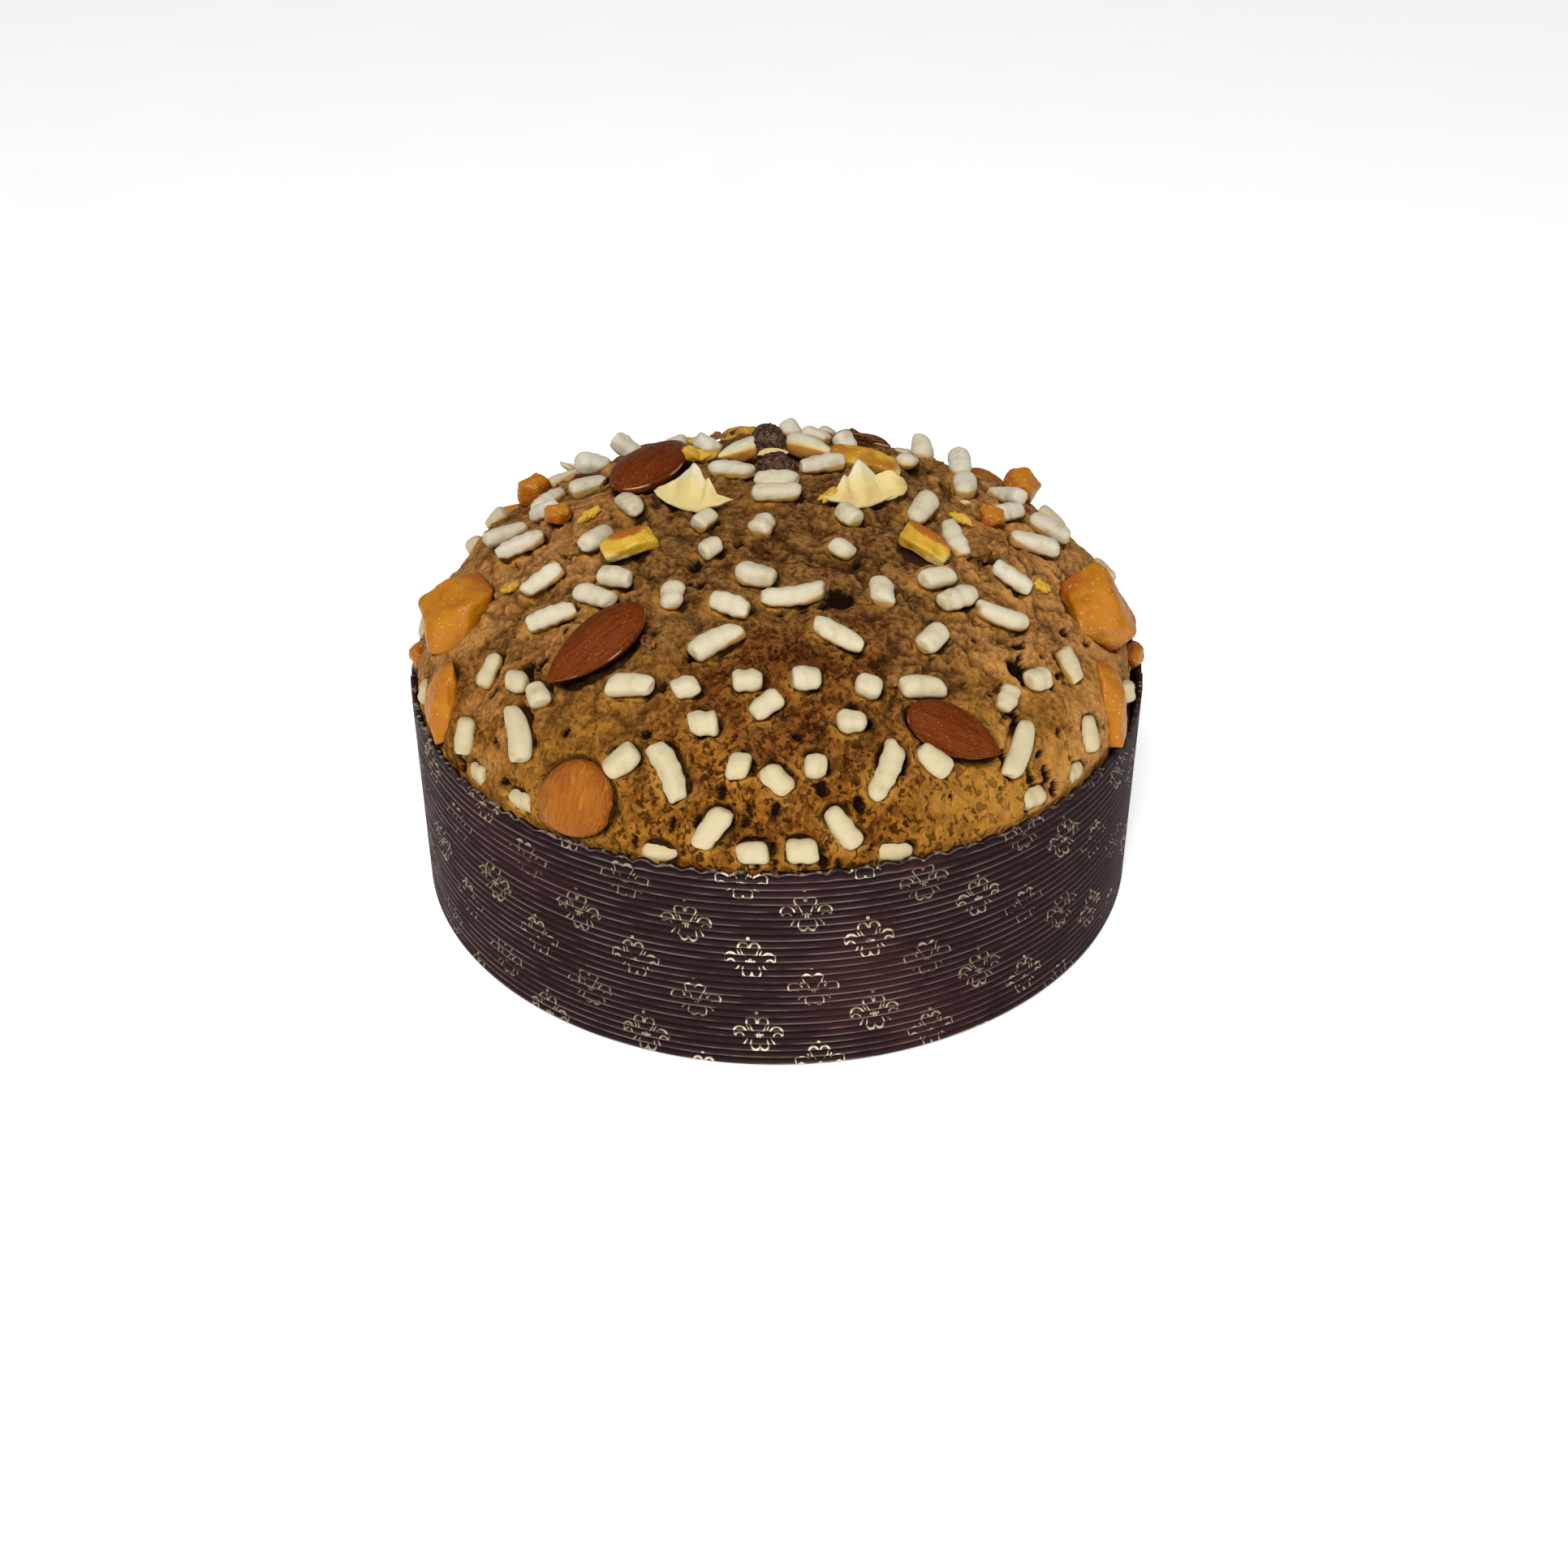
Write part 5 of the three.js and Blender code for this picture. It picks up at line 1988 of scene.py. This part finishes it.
@dataclass(frozen=True)
class Crust:
    """The cake's body: a baked, cracked and pitted glaze over a smooth dome."""

    dome: Dome
    nibs: list[Laid]
    toppings: list[LaidTopping]
    fineness: int = 8
    seed: int = 5
    pits: int = 640
    pit_radius: Span = (0.6, 1.6)
    pit_depth: Span = (0.8, 1.2)  # as shares of the radius
    pits_to: float = 88.0
    wall: tuple[Span, ...] = ((43.0, 91.2), (3.0, 91.2), (1.4, 89.6))  # height and radius of rows
    crack_spacing: float = 10.5
    crack_wander: float = 2.2
    swelling: float = 0.6  # heights and depths in millimetres, up to the pocket's
    crumb: float = 0.4
    clump: float = 2.0
    crack_depth: float = 0.7
    crease_depth: float = 0.7
    upper_drop: float = 0.5
    collar: float = 0.35
    crevice_depth: float = 1.0
    rim: float = 0.3
    pocket_depth: float = 1.5

    def start(self) -> bmesh.types.BMesh:
        """A fine half ball with a wall of marked rows under it, and a floor."""
        bm = bmesh.new()
        ball(bm, self.fineness)
        bmesh.ops.bisect_plane(
            bm,
            geom=bm.verts[:] + bm.edges[:] + bm.faces[:],
            plane_co=(0, 0, 0),
            plane_no=(0, 0, 1),
            clear_inner=True,
        )
        edge = [e for e in bm.edges if e.is_boundary]
        for row in range(len(self.wall)):
            made = bmesh.ops.extrude_edge_only(bm, edges=edge)["geom"]
            for vertex in (g for g in made if isinstance(g, bmesh.types.BMVert)):
                vertex.co.z = -float(row + 1)
            edge = [g for g in made if isinstance(g, bmesh.types.BMEdge) and g.is_boundary]
        bmesh.ops.contextual_create(bm, geom=edge)
        bmesh.ops.recalc_face_normals(bm, faces=bm.faces[:])
        return bm

    def pit_relief(self, places: Array, polar: Array) -> Array:
        """How deep the small pits and the large holes are.

        Args:
            places: Points of the smooth dome.
            polar: Their polar angles.

        Returns:
            The depth at each place in millimetres.
        """
        chance = random.Random(self.seed)
        small, large = self.pit_radius
        holes = list(HOLES)
        for _ in range(self.pits):
            where = self.pits_to * math.sqrt(chance.random())
            radius = small + (large - small) * chance.random() ** 2
            bearing = chance.uniform(-180, 180)
            holes.append(Hole(where, bearing, radius, radius * chance.uniform(*self.pit_depth)))
        deep = np.zeros(len(places))
        for hole in holes:
            near = np.flatnonzero(abs(polar - hole.polar) < 6 + hole.radius)
            site = self.dome.site(hole.polar, hole.bearing)
            offset = places[near] - site.point
            stretch = 1 + 0.5 * math.sin(hole.polar * 12.9 + hole.bearing)
            flat = np.hypot(offset @ site.down * stretch, offset @ site.round)
            away = np.hypot(flat, (offset @ site.normal) * 0.4)
            depth = hole.depth * (1 - smooth(away / hole.radius, 0.45, 1.25))
            deep[near] = np.maximum(deep[near], depth)
        return deep

    def cracks(self, places: Array) -> Array:
        """How far each place is into a crack of the glaze.

        Args:
            places: Points of the smooth dome.

        Returns:
            A share from 0 to 1 for each.
        """
        warp = self.crack_wander * np.stack([lumps(places, 6, 2, s) for s in (3.0, 11.0, 23.0)], 1)
        rows = ((places + warp) / self.crack_spacing).tolist()
        nearest = [noise.voronoi(row)[0] for row in rows]
        edges = np.array([second - first for first, second, *_ in nearest])
        return (1 - smooth(edges, 0.02, 0.13)) * smooth(lumps(places, 16, 2, 5.0), -0.22, 0.25)

    def round_nibs(self, places: Array) -> tuple[Array, Array]:
        """Where places lie round their nearest nib.

        Args:
            places: Points of the smooth dome.

        Returns:
            How far they lie outside it, and a share that is 1 on the lit side below it.
        """
        gap = np.full(len(places), 99.0)
        lower, right = np.zeros(len(places)), np.zeros(len(places))
        for nib in self.nibs:
            here = nib.distance(places)
            nearer = here < gap
            offset = (places - nib.middle) / (nib.length / 2)
            gap = np.where(nearer, here, gap)
            lower = np.where(nearer, -offset[:, 2], lower)
            right = np.where(nearer, offset[:, 0], right)
        return gap, smooth(lower - 0.6 * right, -0.4, 0.5)

    def relief(self, places: Array, polar: Array, away: Array) -> tuple[Array, Array, Array]:
        """The crust's relief, and what follows from it.

        Args:
            places: Points of the smooth dome.
            polar: Their polar angles.
            away: How far their bearings are from the front.

        Returns:
            Their height over the dome, how much painted shade darkens the recess they lie in, and
            how much syrup they carry beside a nib, with painted light on its lit side.
        """
        upper = 1 - smooth(polar, 42, 68)
        rugged = upper * (0.4 + 0.6 * smooth(away, 16, 40))
        rugged *= 1 - 0.75 * smooth(lumps(places, 17, 2, 51.0), 0.0, 0.35)
        clumps = abs(lumps(places * (1, 1, 1.7), 6.5, 4, 17.0))
        crease = (1 - smooth(clumps, 0.01, 0.09)) * rugged
        crack = self.cracks(places) * (0.25 + 0.75 * upper)
        pit = self.pit_relief(places, polar)
        height = self.swelling * lumps(places, 10, 3) + self.crumb * lumps(places, 2.2, 3, 9.0)
        height = height + self.clump * np.minimum(0.25, clumps - 0.5) * rugged
        height -= self.crack_depth * crack + self.crease_depth * crease
        height -= pit + self.upper_drop * upper

        nib_gap, lit = self.round_nibs(places)
        # the crevice round a nib is wider, and its painted shadow darker, on the side away from the
        # light
        ragged = 0.6 + 0.9 * lumps(places, 4, 2, 41.0) + 0.8 * (0.5 - lit)
        ragged = np.clip(ragged, 0.12, 1.7)
        crevice = 1 - smooth(nib_gap - ragged, -0.5, 0.4)
        height += self.collar * ridge(nib_gap - ragged, 0.8, 0.7) - self.crevice_depth * crevice

        topping_gap = np.min([topping.crust_gap(places) for topping in self.toppings], axis=0)
        pocket = 1 - smooth(topping_gap, -0.4, 1.1)
        height += self.rim * ridge(topping_gap, 1.3, 0.8) - self.pocket_depth * pocket

        # painted shade: darker the deeper a crack, pit, crease, crevice or pocket round a topping
        hollow = np.maximum(crack * 0.7, smooth(pit, 0.3, 0.9))
        hollow = np.maximum(hollow, 0.7 * crease)
        hollow = np.maximum(hollow, 0.95 * crevice * smooth(ragged, 0.35, 0.85))
        # caramel round each nib, and painted light on the lit side below it
        halo = np.exp(-np.maximum(0, nib_gap) / 1.2) * (0.3 + 0.65 * lit)
        return height, np.maximum(hollow, 0.9 * pocket), halo

    def tints(self, places: Array, polar: Array, bearing: Array) -> dict[str, Array]:
        """Where each colour of the crust lies.

        Args:
            places: Points of the smooth dome.
            polar: Their polar angles.
            bearing: Their bearings.

        Returns:
            The share of each colour by its name, and painted light low at the front's sides.
        """
        away = abs(bearing)
        front, right = np.cos(np.radians(bearing)), np.sin(np.radians(bearing))
        uneven = lumps(places, 14, 3, 31.0)
        golden = smooth(polar + 22 * uneven - 6 * abs(front), 34, 66)
        film = smooth(abs(right) + 0.08 * right + 0.35 * uneven, 0.66, 0.92)
        film *= smooth(polar + 14 * uneven, 14, 34)
        heart = (1 - smooth(away + 14 * uneven, 14, 34)) * smooth(polar, 24, 36)
        porous = np.maximum(0.22, np.maximum(golden, 0.8 * heart)) * (1 - 0.85 * film)
        # painted light: a lighter caramel patch low at each side of the front, stronger on the
        # right
        glow = golden * smooth(away + 8 * uneven, 14, 32) * np.where(bearing > 0, 0.6, 0.34)
        return {
            "golden": golden,
            "heart": 0.85 * heart * (1 - smooth(polar + 12 * uneven, 50, 66)),
            "film": film * 0.9,
            "porous": porous * (1 - 0.45 * smooth(away + 10 * uneven, 16, 34)),
            "glow": glow * (1 - 0.75 * smooth(away, 38, 56)),
        }

    def build(self, glaze: Material) -> Object:
        """The crust as a piece that stands for the cake.

        Args:
            glaze: Its finish.

        Returns:
            The piece.
        """
        bm = self.start()
        unit = places_of(bm.verts)
        polar = np.degrees(np.arccos(np.clip(unit[:, 2], 0, 1)))
        bearing = np.degrees(np.arctan2(unit[:, 0], -unit[:, 1]))
        site = self.dome.site(polar, bearing)
        height, hollow, halo = self.relief(site.point, polar, abs(bearing))
        places = site.point + site.normal * (height * smooth(90 - polar, 0.5, 4))[:, None]
        for row, (level, radius) in enumerate(self.wall):
            marked = abs(unit[:, 2] + row + 1) < 0.4
            places[marked, :2] = unit[marked, :2] * radius
            places[marked, 2] = level
        mesh = mesh_from(bm, "baked_crust", places)
        tints = self.tints(site.point, polar, bearing)
        tints["golden"] *= unit[:, 2] >= -0.5
        tints["halo"] = np.maximum(halo, tints.pop("glow"))
        for name, values in {**tints, "hollow": hollow}.items():
            note(mesh, name, values)
        return show(mesh, glaze, "crust_glaze", ["cake"])


# ---- The paper case ----


@dataclass(frozen=True)
class PaperCase:
    """The case: a cup of dark paper with flutes round it and a pinked rim."""

    radius: float = 93.0
    height: float = 57.0
    flutes: int = 27
    flute_depth: float = 0.8
    flute_roundness: float = 0.7
    steps_per_flute: int = 4
    teeth: int = 106
    steps_per_tooth: int = 7
    tooth_height: float = 1.05
    tooth_middle: float = 0.6
    unevenness: float = 1.1
    jitter: float = 2.4
    wobble: float = 0.5
    sway: float = 0.0012  # how far the rim leans in and out, as a share of the radius
    foot: float = 1.2
    paper: float = 0.5
    floor: float = 1.0
    rim_band: float = 3.0

    def flute_inset(self, height: Array) -> Array:
        """How far the outside lies in from the crests at a height."""
        phase = (height - self.foot) / (self.height - self.foot) * self.flutes * math.tau
        return self.flute_depth * (0.5 - 0.5 * np.cos(phase)) ** self.flute_roundness

    def profile(self) -> list[Span]:
        """Radius and height across the foot, up the outside and down the inside."""
        heights = np.linspace(self.foot, self.height, self.flutes * self.steps_per_flute + 1)
        outside = [(self.radius - float(self.flute_inset(h)), float(h)) for h in heights]
        inner = self.radius - self.flute_depth - self.paper
        inside = [(inner, self.height), (inner, self.height - self.rim_band), (inner, self.floor)]
        return [(0, 0), (self.radius - self.foot, 0), *outside, *inside, (0, self.floor)]

    def start(self) -> bmesh.types.BMesh:
        """The profile spun round."""
        bm = bmesh.new()
        verts = [bm.verts.new((0, -radius, height)) for radius, height in self.profile()]
        edges = [bm.edges.new(pair) for pair in zip(verts, verts[1:])]
        bmesh.ops.spin(
            bm,
            geom=verts + edges,
            cent=(0, 0, 0),
            axis=(0, 0, 1),
            angle=math.tau,
            steps=self.teeth * self.steps_per_tooth,
            use_merge=True,
        )
        bmesh.ops.remove_doubles(bm, verts=bm.verts[:], dist=1e-4)
        bmesh.ops.recalc_face_normals(bm, faces=bm.faces[:])
        return bm

    def build(self) -> Object:
        """The case as the piece that stands for its node."""
        bm = self.start()
        places = places_of(bm.verts)
        radius = np.hypot(places[:, 0], places[:, 1])
        bearing = np.arctan2(places[:, 0], -places[:, 1])
        near_rim = smooth(places[:, 2], self.height - self.rim_band, self.height)
        outside = radius > self.radius - self.flute_depth - self.paper / 2
        crest = (1 - self.flute_inset(places[:, 2]) / self.flute_depth) * outside
        edge = smooth(places[:, 2], self.height - 0.2, self.height - 0.05)
        around = np.stack([np.sin(bearing), np.cos(bearing), 0 * bearing], 1) * self.radius
        uneven = 1 + self.unevenness * lumps(around, 7, 2, 3.0)
        phase = self.teeth * bearing + self.jitter * lumps(around, 9, 1, 19.0)
        wave = (abs(np.sin(phase / 2)) - self.tooth_middle) * uneven * self.tooth_height
        sway = np.sin(3 * bearing + math.radians(40)) * np.sin(7 * bearing) * self.wobble
        places[:, 2] += near_rim * (wave + sway)
        lean = 1 + near_rim * self.sway * np.sin(11 * bearing)
        places[:, :2] *= np.minimum(lean, self.radius / np.maximum(radius, 1e-6))[:, None]
        mesh = mesh_from(bm, "pleated_paper", places)
        # the finish paints shade in the valleys and highlights on the crests and the cut edge by
        # these
        note(mesh, "crest", crest)
        note(mesh, "edge", edge)
        return show(mesh, PaperFinish().material(), "case_paper", ["paper_case"])


# ---- Floor, light and camera ----


@dataclass(frozen=True)
class Studio:
    """A pale floor, soft light and the camera of the photograph. Lengths are in metres."""

    floor_colour: Colour = (245, 245, 245)
    floor_size: float = 3.0
    floor_glow: float = 0.5
    sky_colour: tuple[float, float, float, float] = (1.0, 0.995, 0.985, 1.0)
    sky: float = 0.26
    lens: float = 49.84  # millimetres
    sensor: float = 36.0
    clip: Span = (0.01, 20.0)
    camera_place: Triple = (0.0, -0.4758, 0.3485)
    pitch: float = 34.86  # degrees down and to the right
    yaw: float = 0.22
    lit_height: float = 0.06

    def camera(self) -> None:
        """Sets the camera where the photograph was taken from."""
        data = bpy.data.cameras.new("camera")
        data.lens, data.sensor_width = self.lens, self.sensor
        data.clip_start, data.clip_end = self.clip
        pitch, yaw = math.radians(self.pitch), math.radians(self.yaw)
        level = math.cos(pitch)
        ahead = Vector((math.sin(yaw) * level, math.cos(yaw) * level, -math.sin(pitch)))
        across = ahead.cross(Vector((0, 0, 1))).normalized()
        turned = Matrix((across, across.cross(ahead), -ahead)).transposed().to_4x4()
        camera = bpy.data.objects.new("camera", data)
        camera.matrix_world = Matrix.Translation(self.camera_place) @ turned
        bpy.context.scene.collection.objects.link(camera)
        bpy.context.scene.camera = camera

    def light(self, name: str, place: Triple, power: float, size: float) -> None:
        """Adds a square soft light that faces the cake.

        Args:
            name: Its name.
            place: Where it hangs.
            power: Its power in watts.
            size: Length of its side.
        """
        data = bpy.data.lights.new(name, "AREA")
        data.energy, data.size = power, size
        lamp = bpy.data.objects.new(name, data)
        facing = Vector((0, 0, self.lit_height)) - Vector(place)
        turned = facing.to_track_quat("-Z", "Y").to_matrix().to_4x4()
        lamp.matrix_world = Matrix.Translation(place) @ turned
        bpy.context.scene.collection.objects.link(lamp)

    def floor(self) -> None:
        """Lays the floor that the cake stands on."""
        bm = bmesh.new()
        bmesh.ops.create_grid(bm, x_segments=1, y_segments=1, size=self.floor_size)
        mesh = bpy.data.meshes.new("floor")
        bm.to_mesh(mesh)
        bm.free()
        g = Graph("floor")
        tone = g.mix(g.lumps(g.places(), 60, 3), self.floor_colour, WHITE)
        g.finished(Emission_Color=WHITE, Emission_Strength=self.floor_glow)
        mesh.materials.append(g.finished(Base_Color=tone, Roughness=0.9, Specular_IOR_Level=0.1))
        piece = bpy.data.objects.new("floor", mesh)
        bpy.context.scene.collection.objects.link(piece)

    def build(self) -> None:
        """Sets up the whole studio."""
        scene = bpy.context.scene
        scene.view_settings.view_transform = "Standard"
        world = bpy.data.worlds.new("studio")
        world.use_nodes = True
        sky = world.node_tree.nodes["Background"]
        sky.inputs["Color"].default_value = self.sky_colour
        sky.inputs["Strength"].default_value = self.sky
        scene.world = world
        self.camera()
        self.floor()
        self.light("key", (-0.14, -0.75, 0.9), 10.5, 0.3)
        self.light("fill", (0.5, -0.9, 0.5), 2.4, 0.9)


def main() -> None:
    """Builds the cake, its toppings, its case and the studio."""
    logging.basicConfig(level=logging.INFO, format="%(message)s")
    dome = Dome()
    toppings = lay_toppings(dome)
    layout = NibLayout(dome)
    nibs = layout.shown(layout.nibs([topping.laid for topping in toppings]))
    LOG.info("sugar nibs: %d", len(nibs))
    glaze = GlazeFinish().material()
    Crust(dome, nibs, toppings).build(glaze)
    SugarNibs(dome, nibs).build()
    build_scraps(dome, glaze, build_toppings(toppings))
    PaperCase().build()
    Studio().build()


if __name__ == "__main__":
    main()
